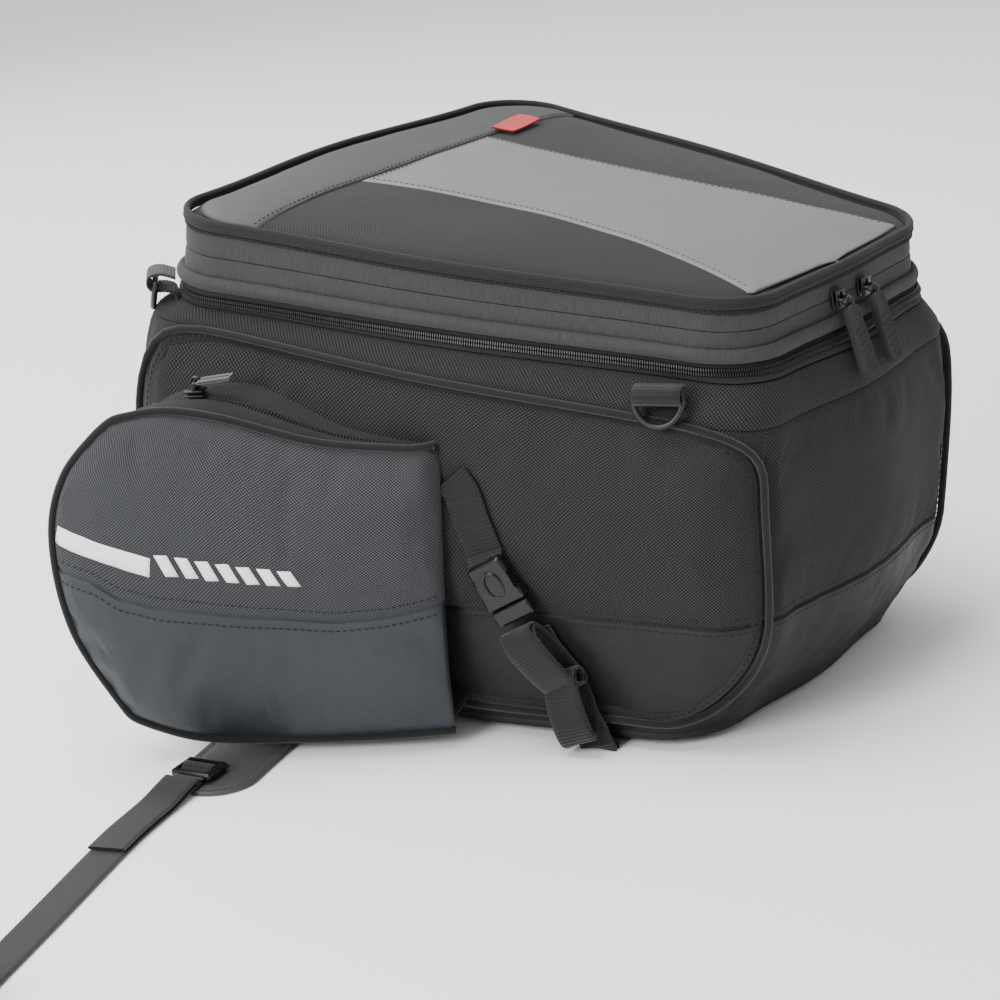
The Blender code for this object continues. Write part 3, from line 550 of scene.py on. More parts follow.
class Shade:
    """Builds one material's nodes from Values and plain numbers."""

    def __init__(self, name):
        self.material = bpy.data.materials.new(name)
        self.material.use_nodes = True
        self.tree = self.material.node_tree
        self.shader = self.tree.nodes["Principled BSDF"]

    def node(self, kind, inputs, output=0, **settings):
        """The output of a new node, whose inputs are given by name or number."""
        made = self.tree.nodes.new(kind)
        for key, value in settings.items():
            setattr(made, key, value)
        for key, value in inputs.items():
            self.feed(made.inputs[key], value)
        return Value(self, made.outputs[output])

    def feed(self, socket, value):
        if isinstance(value, Value):
            self.tree.links.new(value.socket, socket)
        else:
            socket.default_value = value

    def math(self, operation, a, b=0.0):
        return self.node("ShaderNodeMath", {0: a, 1: b}, operation=operation)

    def colour(self, factor, a, b):
        return self.node("ShaderNodeMix", {"Factor": factor, 6: a, 7: b}, 2, data_type="RGBA")

    def uv(self):
        """The surface's own coordinates, in millimetres along and across it."""
        place = self.node("ShaderNodeUVMap", {}, uv_map="UVMap")
        return [self.node("ShaderNodeSeparateXYZ", {0: place}, k) * (1 / MM) for k in (0, 1)]

    def vector(self, x, y, z=0.0):
        return self.node("ShaderNodeCombineXYZ", {0: x, 1: y, 2: z})

    def combined(self, operation, a, b):
        return self.node("ShaderNodeVectorMath", {0: a, 1: b}, operation=operation)

    def object_place(self):
        """The point in the piece's own space, in millimetres."""
        place = self.node("ShaderNodeTexCoord", {}, "Object")
        return self.node("ShaderNodeVectorMath", {0: place, "Scale": 1 / MM}, operation="SCALE")

    def noise(self, place, size, detail=3.0, roughness=0.5):
        inputs = {"Vector": place, "Scale": 1 / size, "Detail": detail, "Roughness": roughness}
        return self.node("ShaderNodeTexNoise", inputs, "Fac")

    def cells(self, place, size):
        """How far the point is from the edge of its cell, in a pattern of cells of this size."""
        inputs = {"Vector": place, "Scale": 1 / size}
        return self.node("ShaderNodeTexVoronoi", inputs, "Distance", feature="DISTANCE_TO_EDGE")

    def hump(self, x, pitch):
        """0 to 1 to 0 over each pitch."""
        return self.math("ABSOLUTE", self.math("SINE", x * (math.pi / pitch)))

    def bump(self, height, distance, strength=1.0, under=None):
        inputs = {"Strength": strength, "Distance": distance * MM, "Height": height}
        if under is not None:
            inputs["Normal"] = under
        return self.node("ShaderNodeBump", inputs)

    def surface(self, **values):
        for name, value in values.items():
            self.feed(self.shader.inputs[name.replace("_", " ").title().replace("Ior", "IOR")], value)


def rgba(grey, blue=0.0):
    return (grey, grey, grey * (1 + blue), 1)


def shaded(colour, factor, more=0.0):
    """The colour made lighter or darker."""
    return (*(c * factor + more for c in colour[:3]), 1)


def woven(name, colour, pitch, relief, heather=0.35, roughness=0.82, sheen=0.25, gap_shade=0.22):
    """Plain weave. Its warp shows as a chequer of raised yarns, and the rest is painted with shade, as dark as
    the gap factor makes it.
    """
    shade = Shade(name)
    x, y = shade.uv()
    drift = (shade.noise(shade.vector(x, y), 3.0 * pitch, 2) - 0.5) * (0.35 * pitch)
    across, along = shade.hump(x + drift, pitch), shade.hump(y + drift, pitch)
    square = shade.vector((x + drift) / pitch, (y + drift) / pitch, 0.5)
    seen = 1.0 - shade.node("ShaderNodeTexChecker", {"Vector": square, "Scale": 1.0}, "Fac")
    height = seen * (across**0.6 * (along * 0.45 + 0.55))
    fleck = seen * shade.noise(shade.vector(x, y * (1 / 14)), pitch * 0.8, 2)
    worn = shade.noise(shade.object_place(), 55.0, 4, 0.6)
    tone = (fleck - 0.5) * (2.2 * heather) + 0.5
    tone = shade.math("MAXIMUM", tone + (worn - 0.5) * 0.35, 0.0)
    dark, light = shaded(colour, 1 - 0.75 * heather), shaded(colour, 1 + 1.1 * heather)
    yarn = shade.colour(shade.math("MINIMUM", tone, 1.0), dark, light)
    # painted shade: the colour darkens where the yarns are low, in the gaps between and under them
    paint = shade.colour(height**0.75, shaded(colour, gap_shade), yarn)
    fuzz = shade.bump(shade.noise(shade.object_place(), 0.35, 2), 0.05, 0.5)
    shade.surface(base_color=paint, roughness=worn * 0.12 + (roughness - 0.06))
    shade.surface(normal=shade.bump(height, relief, 1.0, fuzz), specular_ior_level=0.12)
    shade.surface(sheen_weight=sheen, sheen_roughness=0.45)


def coated(name, colour, grain, relief, roughness, coat=0.0):
    """Coated fabric with a fine pebbled grain, painted shade in the grain's crevices, a few scuffs and faint
    soft unevenness.
    """
    shade = Shade(name)
    place = shade.object_place()
    shift = shade.noise(place, grain * 2.5, 2)
    warped = shade.combined("ADD", place, shade.vector(shift, shift, shift))
    pebble = shade.math("MINIMUM", shade.cells(warped, grain) * 2.6, 1.0)
    broad = shade.noise(place, 70.0, 4, 0.55)
    scuff = shade.noise(place, 9.0, 6, 0.75)
    paint = shade.colour(broad * 0.7 + scuff * 0.3, shaded(colour, 0.80), shaded(colour, 1.20))
    # painted shade: the crevices between the grain's pebbles are darkened
    paint = shade.colour((1.0 - pebble) * 0.45, paint, rgba(colour[1] * 0.4))
    normal = shade.bump(pebble, relief, 1.0, shade.bump(broad, 1.2, 0.25))
    shade.surface(base_color=paint, roughness=scuff * 0.18 + (roughness - 0.08), normal=normal)
    shade.surface(coat_weight=coat, coat_roughness=0.35, specular_ior_level=0.28)


def ribbed(name, colour, rib, relief, lengthwise, roughness=0.75):
    """Webbing or tape. Its yarns slant to and fro, in ribs along or across it, with painted shade in the valleys
    between the ribs.
    """
    shade = Shade(name)
    x, y = shade.uv()
    run, wide = (y, x) if lengthwise else (x, y)
    height = shade.hump(run, rib) * 0.65 + shade.hump(wide + run * 0.6, rib * 0.75) * 0.35
    fleck = shade.noise(shade.object_place(), 0.7, 3)
    worn = shade.noise(shade.object_place(), 30.0, 3)
    yarn = shade.colour(fleck * 0.6 + worn * 0.3, colour, shaded(colour, 1.5))
    normal = shade.bump(height, relief, 1.0, shade.bump(fleck, 0.06, 0.6))
    # painted shade: the valleys between the ribs are darkened to a third of the colour
    shade.surface(base_color=shade.colour(height, shaded(colour, 0.3), yarn), normal=normal)
    shade.surface(roughness=roughness, sheen_weight=0.2, sheen_roughness=0.5, specular_ior_level=0.16)


def moulded(name, colour, roughness, texture=0.12, relief=0.03):
    """Moulded plastic or rubber with a fine spark texture and handling marks."""
    shade = Shade(name)
    place = shade.object_place()
    spark = shade.noise(place, texture, 2, 0.6)
    marks = shade.noise(place, 6.0, 6, 0.7)
    scratch = shade.noise(shade.combined("MULTIPLY", place, (1, 9, 1)), 2.5, 4, 0.7)
    paint = shade.colour(marks * 0.6, colour, shaded(colour, 1.5, 0.002))
    rough = marks * 0.14 + (roughness - 0.10) + scratch * 0.08
    shade.surface(base_color=paint, roughness=rough, normal=shade.bump(spark, relief, 0.5))
    shade.surface(specular_ior_level=0.38)


def reflective():
    """Retroreflective tape: pale grey, with a glass-bead surface."""
    shade = Shade("reflective_tape")
    place = shade.object_place()
    paint = shade.colour(shade.noise(place, 12.0, 5, 0.7), rgba(0.72), rgba(0.93))
    beads = shade.bump(shade.cells(place, 0.35), 0.03, 0.5)
    shade.surface(base_color=paint, roughness=0.38, normal=beads, specular_ior_level=0.6)


def make_materials():
    woven("ballistic", rgba(0.040, 0.05), 0.98, 0.22, heather=0.40, roughness=0.82, sheen=0.05)
    woven("pocket_weave", (0.084, 0.086, 0.093, 1), 0.9, 0.22, heather=0.36, roughness=0.8, sheen=0.06)
    woven("heathered", rgba(0.055, 0.02), 0.62, 0.09, heather=0.75, roughness=0.9, sheen=0.10, gap_shade=0.6)
    woven("lid_weave", rgba(0.034, 0.02), 0.8, 0.11, heather=0.40, roughness=0.86, sheen=0.08, gap_shade=0.35)
    woven("lining", rgba(0.030, 0.04), 0.5, 0.06, heather=0.2, roughness=0.6, sheen=0.1)
    woven("tab_weave", (0.85, 0.012, 0.015, 1), 0.45, 0.06, heather=0.12, roughness=0.6)
    coated("coated_slate", (0.024, 0.0295, 0.036, 1), 0.9, 0.07, 0.50, 0.10)
    coated("coated_skirt", rgba(0.0075, 0.10), 1.0, 0.08, 0.55, 0.03)
    coated("coated_lid", rgba(0.175, 0.03), 0.85, 0.05, 0.46, 0.06)
    coated("coated_strip", rgba(0.050, 0.03), 0.85, 0.06, 0.54, 0.03)
    ribbed("tape", rgba(0.0065), 0.8, 0.14, lengthwise=False)
    ribbed("webbing_cross", rgba(0.0085), 1.9, 0.30, lengthwise=False, roughness=0.62)
    ribbed("webbing_long", rgba(0.0085), 1.25, 0.22, lengthwise=True, roughness=0.7)
    ribbed("pull_webbing", rgba(0.085), 1.1, 0.20, lengthwise=True, roughness=0.7)
    ribbed("thread", rgba(0.016), 0.4, 0.05, lengthwise=False, roughness=0.7)
    ribbed("pale_thread", rgba(0.25), 0.4, 0.05, lengthwise=False, roughness=0.7)
    moulded("plastic", rgba(0.006), 0.36)
    moulded("buckle", rgba(0.0045), 0.26, texture=0.2, relief=0.015)
    moulded("rubber", rgba(0.006), 0.6, texture=0.18, relief=0.04)
    moulded("coil", rgba(0.013), 0.42, texture=0.3, relief=0.01)
    moulded("board", rgba(0.05), 0.6)
    reflective()


# ---------------------------------------------------------------- camera, floor and light


def make_camera():
    azimuth, elevation, roll = (math.radians(angle) for angle in (52.357, 18.765, -4.936))
    target, distance = Vector((-99.35, 0, 118)), 1388.1
    level = Vector((math.cos(azimuth), -math.sin(azimuth), 0))
    back = UP.cross(level) * -math.cos(elevation) + UP * math.sin(elevation)
    up = back.cross(level)
    right = level * math.cos(roll) + up * math.sin(roll)
    upright = up * math.cos(roll) - level * math.sin(roll)
    camera = bpy.data.objects.new("camera", bpy.data.cameras.new("camera"))
    camera.data.lens, camera.data.sensor_width = 96.06, 36.0
    turned = Matrix((right, upright, back)).transposed().to_4x4()
    camera.matrix_world = Matrix.Translation((target + back * distance) * MM) @ turned
    bpy.context.scene.collection.objects.link(camera)
    bpy.context.scene.camera = camera


def area_light(name, place, aim, size, power, tint=(1, 1, 1)):
    light = bpy.data.lights.new(name, "AREA")
    light.shape, light.size, light.energy, light.color = "DISK", size, power, tint
    obj = bpy.data.objects.new(name, light)
    obj.location = place
    obj.rotation_euler = (Vector(aim) - Vector(place)).to_track_quat("-Z", "Y").to_euler()
    bpy.context.scene.collection.objects.link(obj)


def make_studio():
    shade = Shade("studio_floor")
    shade.surface(base_color=rgba(0.93), roughness=0.9, specular_ior_level=0.1)
    size = 12.0
    bm = bmesh.new()
    bmesh.ops.create_grid(bm, x_segments=1, y_segments=1, size=size / 2)
    mesh = bpy.data.meshes.new("floor")
    bm.to_mesh(mesh)
    bm.free()
    floor = bpy.data.objects.new("floor", mesh)
    mesh.materials.append(shade.material)
    bpy.context.scene.collection.objects.link(floor)
    world = bpy.data.worlds.new("studio")
    world.use_nodes = True
    world.node_tree.nodes["Background"].inputs[0].default_value = (0.97, 0.98, 1.0, 1)
    world.node_tree.nodes["Background"].inputs[1].default_value = 0.8
    bpy.context.scene.world = world
    area_light("overhead", (-0.4, 0.5, 2.4), (0, 0, 0.1), 1.8, 80)
    area_light("key", (-2.0, 0.15, 1.1), (-0.1, 0, 0.12), 1.0, 42)
    area_light("behind", (0.7, 1.7, 1.3), (0, 0, 0.25), 1.2, 16)


# ---------------------------------------------------------------- front straps

WEBBING_WIDTH, WEBBING_THICK = 20.0, 1.6
ADJUSTER_AT = Vector((-246.0, 96.0, 0.0))
STRAP_ROUTES = {
    "left": (
        (-257.0, 96.0, 5.6),
        (-268.0, 94.0, 4.6),
        (-284.0, 91.0, 2.4),
        (-315.0, 84.0, 2.1),
        (-350.0, 73.0, 2.1),
        (-383.0, 62.0, 2.1),
        (-420.0, 50.0, 2.1),
        (-456.0, 38.5, 2.1),
        (-488.0, 28.0, 2.1),
    ),
    "right": (
        (257.0, 96.0, 5.6),
        (268.0, 94.0, 4.6),
        (284.0, 92.0, 2.4),
        (315.0, 95.0, 2.1),
        (350.0, 105.0, 2.1),
        (385.0, 119.0, 2.1),
        (420.0, 134.0, 2.1),
        (452.0, 149.0, 2.1),
        (482.0, 163.0, 2.1),
    ),
}
STRAP_LENGTH = 450.0
STRAP_POINTS = 22
ROLL_CORE = 8.0
ROLL_PITCH = 3.0


def strap_line(side):
    """The centreline of a front strap: over the floor, then rolled up. Also which way its top faces."""
    route = smooth_route(STRAP_ROUTES[side], STRAP_POINTS)
    path = [point - UP * (WEBBING_THICK / 2) for point in route]
    outs = [UP] * len(path)
    left = STRAP_LENGTH - run_length(path)
    radius = math.sqrt(ROLL_CORE**2 + left * ROLL_PITCH / math.pi) - ROLL_PITCH / 2
    ahead = (path[-1] - path[-2]).normalized()
    ahead.z = 0
    middle = path[-1] + UP * radius
    angle, step = 0.0, math.radians(15)
    while left > 0:
        r = radius - ROLL_PITCH * angle / (2 * math.pi)
        left -= r * step
        angle += step
        r = radius - ROLL_PITCH * angle / (2 * math.pi)
        spoke = ahead * math.sin(angle) - UP * math.cos(angle)
        path.append(middle + spoke * r)
        outs.append(-spoke)
    return path, outs


def make_front_strap(side):
    path, outs = strap_line(side)
    name = f"front_strap_{side}"
    profile = [(x, z - WEBBING_THICK / 2) for x, z in flat_profile(WEBBING_WIDTH, WEBBING_THICK, 10)]
    strap = sweep(f"{name}_webbing", path, outs, profile, "webbing_long")
    put(strap, "bag_body", "webbing", name)
    doubled = [p + UP * (WEBBING_THICK + 0.1) for p in smooth_route(STRAP_ROUTES[side], 60)[2:27]]
    for point in doubled[:4]:
        point.z += 0.2
    over = sweep(f"{name}_upper_layer", doubled, [UP] * len(doubled), profile, "webbing_long")
    put(over, "bag_body", "webbing")
    path[0] * MM
    [point * MM for point in path]


# ---------------------------------------------------------------- the bag's body

BODY_LINING = ("ballistic", "coated_skirt", "lining", "lining")


def shell_rows():
    """(v, how far out the cloth stands) up a panel, with a folded edge at the skirt seam."""
    rows = [(0.02 + 0.90 * k / 11, 0.6 * smoothstep(6, 11, k)) for k in range(12)]
    rows += [(0.95, 0.8), (0.968, 0.85), (0.982, 0.6)]
    rows += [(0.990, -0.5), (1.0, -0.9), (1.012, -0.4), (1.03, 0.0)]
    return rows + [(1.03 + 1.97 * k / 26, 0.0) for k in range(1, 27)]


def from_strap(point):
    """How far the point is from the line of the side strap, seen from the side."""
    top, low = Vector((-5.0, 152.0)), Vector((-66.0, 8.0))
    spot = point.yz - top
    along = min(max(spot.dot(low - top) / (low - top).length_squared, 0.0), 1.0)
    return (spot - (low - top) * along).length


def shell_point(u_range, s, v, out):
    """A point of a padded panel: it swells between its seams and is a little uneven."""
    u = u_range[0] + (u_range[1] - u_range[0]) * s
    plain = skin(u, v)
    inside = smoothstep(0, 0.10, min(s, 1 - s))
    upright = smoothstep(0.0, 0.5, v) * smoothstep(2.98, 2.45, v)
    swell = 1.6 * inside * upright - 1.2 * (1 - inside * smoothstep(3.0, 2.85, v))
    swell -= 1.1 * math.exp(-(((v - SKIRT_SEAM) / 0.13) ** 2)) * inside
    stretched = Vector((plain.x, plain.y, plain.z * 1.9))
    uneven = 1.1 * crease(stretched, 70.0) + 0.25 * crease(plain, 26.0, 5.0)
    swell -= 2.2 * math.exp(-((from_strap(plain) / 17.0) ** 2)) * upright
    pucker = 0.22 * math.exp(-(((v - SKIRT_SEAM) / 0.10) ** 2)) * math.sin(plain.x / 3.1 + plain.y / 2.3)
    return plain + skin_normal(u, v) * (out + swell + (uneven + pucker) * (0.25 + 0.75 * inside))


def make_shell(name, u_range, columns, node):
    rows = shell_rows()
    grid = [[shell_point(u_range, i / columns, v, out) for v, out in rows] for i in range(columns + 1)]
    middle = Vector((0, 0, 110))
    seam = next(j for j, (v, _) in enumerate(rows) if v > 0.985)

    def sewn(i, j):
        v = rows[j][0]
        border = not 0.075 < i / columns < 0.925 or not 0.2 < v < 2.75
        return border or 0.90 < v < 1.09 or from_strap(grid[i][j]) < 16

    grid, _ = settled(grid, middle, sewn, 5.0, 2.2)
    obj = lattice(name, grid, BODY_LINING, slot_of=lambda i, j: int(j < seam), face_out=middle)
    thicken(obj, 2.6, 2, 2)
    put(obj, "bag_body", "ballistic_fabric", node)
    for row, v in (("skirt_fold", 0.945), ("skirt_seam", 1.055)):
        spots = [0.015 + 0.97 * k / 160 for k in range(161)]
        path = [shell_point(u_range, s, v, 0.75 if v < 1 else 0.0) for s in spots]
        outs = [skin_normal(u_range[0] + (u_range[1] - u_range[0]) * s, v) for s in spots]
        stitches(f"{name}_{row}_stitches", path, outs, "bag_body")


def side_route(u_range):
    """The line of the side panel's piping, as (u, v)."""
    u0, u1 = u_range
    v0, v1 = 0.12, SHOULDER - 0.04
    route = []
    corners = ((u1, v0, -1, 1), (u1, v1, -1, -1), (u0, v1, 1, -1), (u0, v0, 1, 1))
    for k, (u, v, du, dv) in enumerate(corners):
        round_u, round_v = (0.03, 0.55) if v == v0 else (0.05, 0.85)
        for j in range(9):
            angle = math.radians(-90 + 90 * k + 90 * j / 8)
            route.append(
                (u + du * round_u + round_u * math.cos(angle), v + dv * round_v + round_v * math.sin(angle))
            )
    full = []
    for (ua, va), (ub, vb) in zip(route, route[1:] + route[:1]):
        pieces = max(1, round(abs(ub - ua) / 0.006), round(abs(vb - va) / 0.10))
        full += [(ua + (ub - ua) * j / pieces, va + (vb - va) * j / pieces) for j in range(pieces)]
    return full


def make_side_piping(side, u_range):
    """Binding tape sewn round a cord: the cord stands up and the tape's edge lies on the panel."""
    route = side_route(u_range)
    path = [off_skin(u, v, 1.9) for u, v in route]
    outs = [skin_normal(u, v) for u, v in route]
    name = f"side_piping_{side}"
    bead = sweep(name, path, outs, circle(2.0, 14), "tape", closed=True)
    put(bead, "bag_body", "binding_tape", name)
    middle_u, middle_v = (u_range[0] + u_range[1]) / 2, 1.6
    inner = [(u + (middle_u - u) * 0.045, v + (middle_v - v) * 0.045) for u, v in route]
    normals = [skin_normal(u, v) for u, v in inner]
    low, high = min(u_range), max(u_range)
    line = []
    for u, v in inner:
        line.append(shell_point((low, high), (u - low) / (high - low), v, 0.2))
    flange = [(x, z * 0.8 - 0.3) for x, z in flat_profile(6.0, 1.0, 4)]
    tape = sweep(f"{name}_tape", line, normals, flange, "tape", closed=True)
    put(tape, "bag_body", "binding_tape")
    stitched = [p + n * 0.65 for p, n in zip(line, normals)]
    stitches(f"{name}_stitches", stitched, normals, "bag_body", closed=True)


def ring_strip(name, v_range, finish, ride, out, swell, rows=9, uneven=0.5, lining=True):
    """A soft band right round the bag. It swells between the seams at its two edges.

    ride is what put() is told about it: its body, its slot and the CAD nodes it stands for.
    """
    (v0, v1), columns = v_range, 300
    grid = []
    for i in range(columns):
        u = i / columns
        row = []
        for j in range(rows + 1):
            t = 0.5 - 0.5 * math.cos(math.pi * j / rows)
            v = v0 + (v1 - v0) * t
            plain = skin(u, v)
            bulge = swell * (1 - (2 * t - 1) ** 4)
            stretched = Vector((plain.x, plain.y, plain.z * 1.5))
            wave = uneven * crease(stretched, 38.0, 2.0) * math.sin(math.pi * t)
            row.append(plain + skin_normal(u, v) * (out + bulge + wave - 0.5))
        grid.append(row)
    finishes = [finish, "lining"] if lining else [finish]
    obj = lattice(name, grid, finishes, closed_u=True, face_out=Vector((0, 0, 220)))
    if lining:
        thicken(obj, 1.8, 1)
    put(obj, *ride)


def along_bag(v, out, spots):
    """The line at v up the levels, this far out, at these fractions round the bag. Also its normals."""
    return [off_skin(u, v, out) for u in spots], [skin_normal(u, v) for u in spots]


def all_round(columns):
    return [k / columns for k in range(columns)]


def ring_bead(name, v, profile, finish, out, ride):
    path, outs = along_bag(v, out, all_round(300))
    put(sweep(name, path, outs, profile, finish, closed=True), *ride)


def zip_teeth(name, line, body, across, closed=False, pitch=1.25, size=(0.8, 2.5, 1.1), nodes=()):
    """One side of a coil zip. Each turn of the coil is a short rounded bar across the zip's line."""
    (path, outs), (length, reach, height) = line, size
    total = run_length([*path, path[0]] if closed else path)
    spots = respaced(path, pitch, closed)
    bm, stacks = bmesh.new(), []
    for k, spot in enumerate(spots if closed else spots[:-1]):
        ahead = (spots[(k + 1) % len(spots)] - spot).normalized()
        near = min(int(k * pitch / total * len(path)), len(path) - 1)
        out = outs[near]
        side = out.cross(ahead).normalized() * across
        rings = []
        for away, lift, scale in ((0, 0.0, 0.55), (0.18, 0.55, 1), (0.8, 0.5, 1), (1, -0.1, 0.8)):
            centre = spot + side * reach * away + out * height * (lift - 0.2)
            half, tall = length / 2 * scale, height / 2 * scale
            corners = ((-1, -1), (-0.7, 1), (0.7, 1), (1, -1))
            rings.append([bm.verts.new(centre + ahead * half * x + out * tall * z) for x, z in corners])
        stacks.append(rings)
    put(skinned(name, bm, stacks, "coil", 50), body, "zip_coil", *nodes)


def make_expansion():
    """The expansion zip, with half its teeth on the body and half on the tier, and the pleats behind it."""
    v_zip = EXPANSION_ZIP + 0.36
    for half, across, body in (("lower", -1, "bag_body"), ("upper", 1, "expansion_tier")):
        line = along_bag(v_zip + 0.015 * across, 1.6, all_round(360))
        nodes = ["expansion_zipper"] if half == "upper" else []
        zip_teeth(f"expansion_coil_{half}", line, body, -across, closed=True, nodes=nodes)
        edge = sorted((v_zip + 0.10 * across, v_zip + 0.36 * across))
        ride = body, "zip_coil"
        ring_strip(f"expansion_tape_{half}", edge, "lid_weave", ride, 1.0, 0.4, 5, 0.1, lining=False)
    folds, per_fold = 3, 8
    columns, rows = 200, folds * per_fold
    shallow, deep = 3.6, 10.6
    low = skin(0, EXPANSION_ZIP).z - 1.5
    grid = []
    for i in range(columns):
        u = i / columns
        row = []
        for j in range(rows + 1):
            turn = math.cos(2 * math.pi * j / per_fold)
            inset = (shallow + deep) / 2 - (deep - shallow) / 2 * turn
            inset += 0.5 * crease(skin(u, EXPANSION_ZIP) + UP * j, 15.0, 9.0)
            point = off_skin(u, EXPANSION_ZIP + 0.3, -inset)
            height = -2.0 + 11.5 * j / rows
            row.append(Vector((point.x, point.y, skin(u, EXPANSION_ZIP).z + height)))
        grid.append(row)
    obj = lattice("expansion_pleats", grid, "lid_weave", closed_u=True, face_out=Vector((0, 0, low)))
    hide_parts("expansion_gusset")
    start = skin(0, EXPANSION_ZIP) - UP * 1.6
    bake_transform(obj)
    around = run_length([row[0] for row in grid]) * MM
    run_length(grid[0]) * MM


def make_bands():
    tier = "expansion_tier", "lid_fabric"
    edges = SHOULDER - 0.02, EXPANSION_ZIP - 0.03
    ride = "bag_body", "ballistic_fabric", "lower_collar"
    ring_strip("lower_collar_band", edges, "ballistic", ride, 0.3, 1.0)
    edges = EXPANSION_ZIP + 0.62, FOLD - 0.02
    ring_strip("upper_collar_band", edges, "heathered", (*tier, "upper_collar"), 0.4, 0.6, rows=5)
    bead = circle(3.6, 18, 0.72)
    ring_bead("fold_piping_band", FOLD, bead, "heathered", 2.2, (*tier, "fold_piping"))
    edges = FOLD + 0.07, LID_ZIP - 0.006
    ring_strip("lower_gusset_band", edges, "heathered", (*tier, "lower_gusset"), 0.9, 0.5, rows=10)
    edges, ride = (LID_ZIP + 0.006, LID_EDGE - 0.10), ("lid", "lid_fabric", "upper_gusset")
    ring_strip("upper_gusset_band", edges, "heathered", ride, 0.9, 0.5, rows=10)
    count = 198
    spots = [0.17 + 0.66 * k / count for k in range(count + 1)]
    for half, across, body in (("lower", 1, "expansion_tier"), ("upper", -1, "lid")):
        line = along_bag(LID_ZIP - 0.01 * across, -2.4, spots)
        nodes = ["main_zipper"] if half == "upper" else []
        zip_teeth(f"main_coil_{half}", line, body, across, pitch=2.0, size=(1.3, 3.0, 1.4), nodes=nodes)


def make_hinge_tape():
    """The cloth that joins the lid to the bag along the front, where the zip doesn't run."""
    grid = []
    for i in range(61):
        u = -0.145 + 0.29 * i / 60
        ts = [j / 14 for j in range(15)]
        grid.append([off_skin(u, LID_ZIP + 0.30 * (t - 0.5), -2.0 + 0.6 * math.sin(math.pi * t)) for t in ts])
    tape = lattice("lid_hinge_tape", grid, "lid_weave", face_out=Vector((0, 0, 220)))
    low, high = (off_skin(0, LID_ZIP + side * 0.13, -2.0) for side in (-1, 1))
    low * MM
    high * MM
    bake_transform(tape)
    flat = run_length([row[7] for row in grid]) * MM, run_length(grid[30]) * MM


# ---------------------------------------------------------------- the lid

CENTRE_REAR_Y = -150.0


def centre_half_width(y):
    waist_y, waist, flare = 18.0, 50.0, 0.00092
    return waist + flare * (y - waist_y) ** 2


def rear_half(y):
    """Half the lid's width inside its binding, this far back."""
    s = halved(0.26, 0.5, lambda s: lid_surface(s, 0.965).y > y)
    return abs(lid_surface(s, 0.965).x)


def lid_out(x, y):
    """How far the lid's cloth stands above its plain surface."""
    spot = Vector((x, y, 0))
    return 0.9 * crease(spot, 95.0, 4.0) + 0.12 * crease(spot, 30.0, 8.0)


def lid_point(x, y, lift=0.0):
    return Vector((x, y, lid_height(x, y) + lift + lid_out(x, y)))


def make_lid():
    columns = 260
    rings = [1.014, 1.0, 0.985, 0.965, 0.94, 0.90, 0.84, 0.76, 0.66, 0.54, 0.40, 0.25, 0.12]
    grid = []
    for i in range(columns):
        s = i / columns
        row = []
        for k in rings:
            point = lid_surface(s, k)
            near_edge = smoothstep(0.985, 0.93, k)
            drop = 1.2 * (1 - near_edge) + 3.0 * smoothstep(0.985, 1.014, k)
            point.z += lid_out(point.x, point.y) * near_edge - drop
            row.append(point)
        grid.append(row)
    obj = lattice("lid_shell", grid, ["lid_weave", "lining"], closed_u=True)
    bm = bmesh.new()
    bm.from_mesh(obj.data)
    hole = [edge for edge in bm.edges if edge.is_boundary and edge.verts[0].co.xy.length < 0.03]
    bmesh.ops.holes_fill(bm, edges=hole, sides=0)
    bm.normal_update()
    if sum(face.normal.z for face in bm.faces) < 0:
        bmesh.ops.reverse_faces(bm, faces=bm.faces)
    bm.to_mesh(obj.data)
    bm.free()
    thicken(obj, 2.4, 1)
    put(obj, "lid", "lid_fabric", "lid_panel")
    ride = "lid", "binding_tape", "lid_piping"
    ring_bead("lid_edge_binding", LID_EDGE, lobed_profile(), "lid_weave", 1.3, ride)
    stitches("lid_edge_stitches", *along_bag(LID_EDGE - 0.13, 1.35, all_round(420)), "lid", closed=True)
    make_lid_centre()
    make_lid_strip()
    make_lid_tab()


def lobed_profile():
    """The cross-section of the lid's bound edge: two cords side by side under one tape."""
    shape = []
    for angle in round_angles(28):
        reach = 1.5 + 1.6 * abs(math.cos(angle)) ** 1.2
        shape.append((reach * math.cos(angle), reach * math.sin(angle) * 0.95))
    return shape


def make_lid_centre():
    """The smooth panel down the middle of the lid. Its edge is turned under and stitched."""
    wide, long = 34, 60
    grid = []
    for i in range(wide + 1):
        s = 0.5 - 0.5 * math.cos(math.pi * i / wide) if i not in (0, wide) else i / wide
        row = []
        for j in range(long + 1):
            t = 0.5 - 0.5 * math.cos(math.pi * j / long)
            y = CENTRE_REAR_Y + (LID_SEAM_Y - CENTRE_REAR_Y) * t
            half = min(centre_half_width(y), rear_half(y)) if y < 0 else centre_half_width(y)
            x = half * (2 * s - 1)
            edge = min(half - abs(x), y - CENTRE_REAR_Y, LID_SEAM_Y - y)
            lift = 0.9 * smoothstep(0, 2.5, edge) - 0.35 * math.exp(-(((edge - 3.4) / 1.2) ** 2))
            lift += 1.0 * smoothstep(5, 40, edge)
            row.append(lid_point(x, y, 0.15 + lift))
        grid.append(row)
    obj = lattice("lid_centre_panel_cover", grid, "coated_lid", face_out=Vector((0, 0, 0)))
    thicken(obj, 0.9)
    put(obj, "lid", "lid_coated_fabric", "lid_centre_panel")
    inset = 3.2
    border = []
    for side in (-1, 1):
        ys = [CENTRE_REAR_Y + 12 + (LID_SEAM_Y - CENTRE_REAR_Y - 12 - inset) * k / 60 for k in range(61)]
        for y in ys[::-side]:
            border.append((side * (min(centre_half_width(y), rear_half(y)) - inset), y))
    path = [lid_point(x, y, 0.85) for x, y in border]
    stitches("lid_centre_stitches", path, [UP] * len(path), "lid", finish="pale_thread")


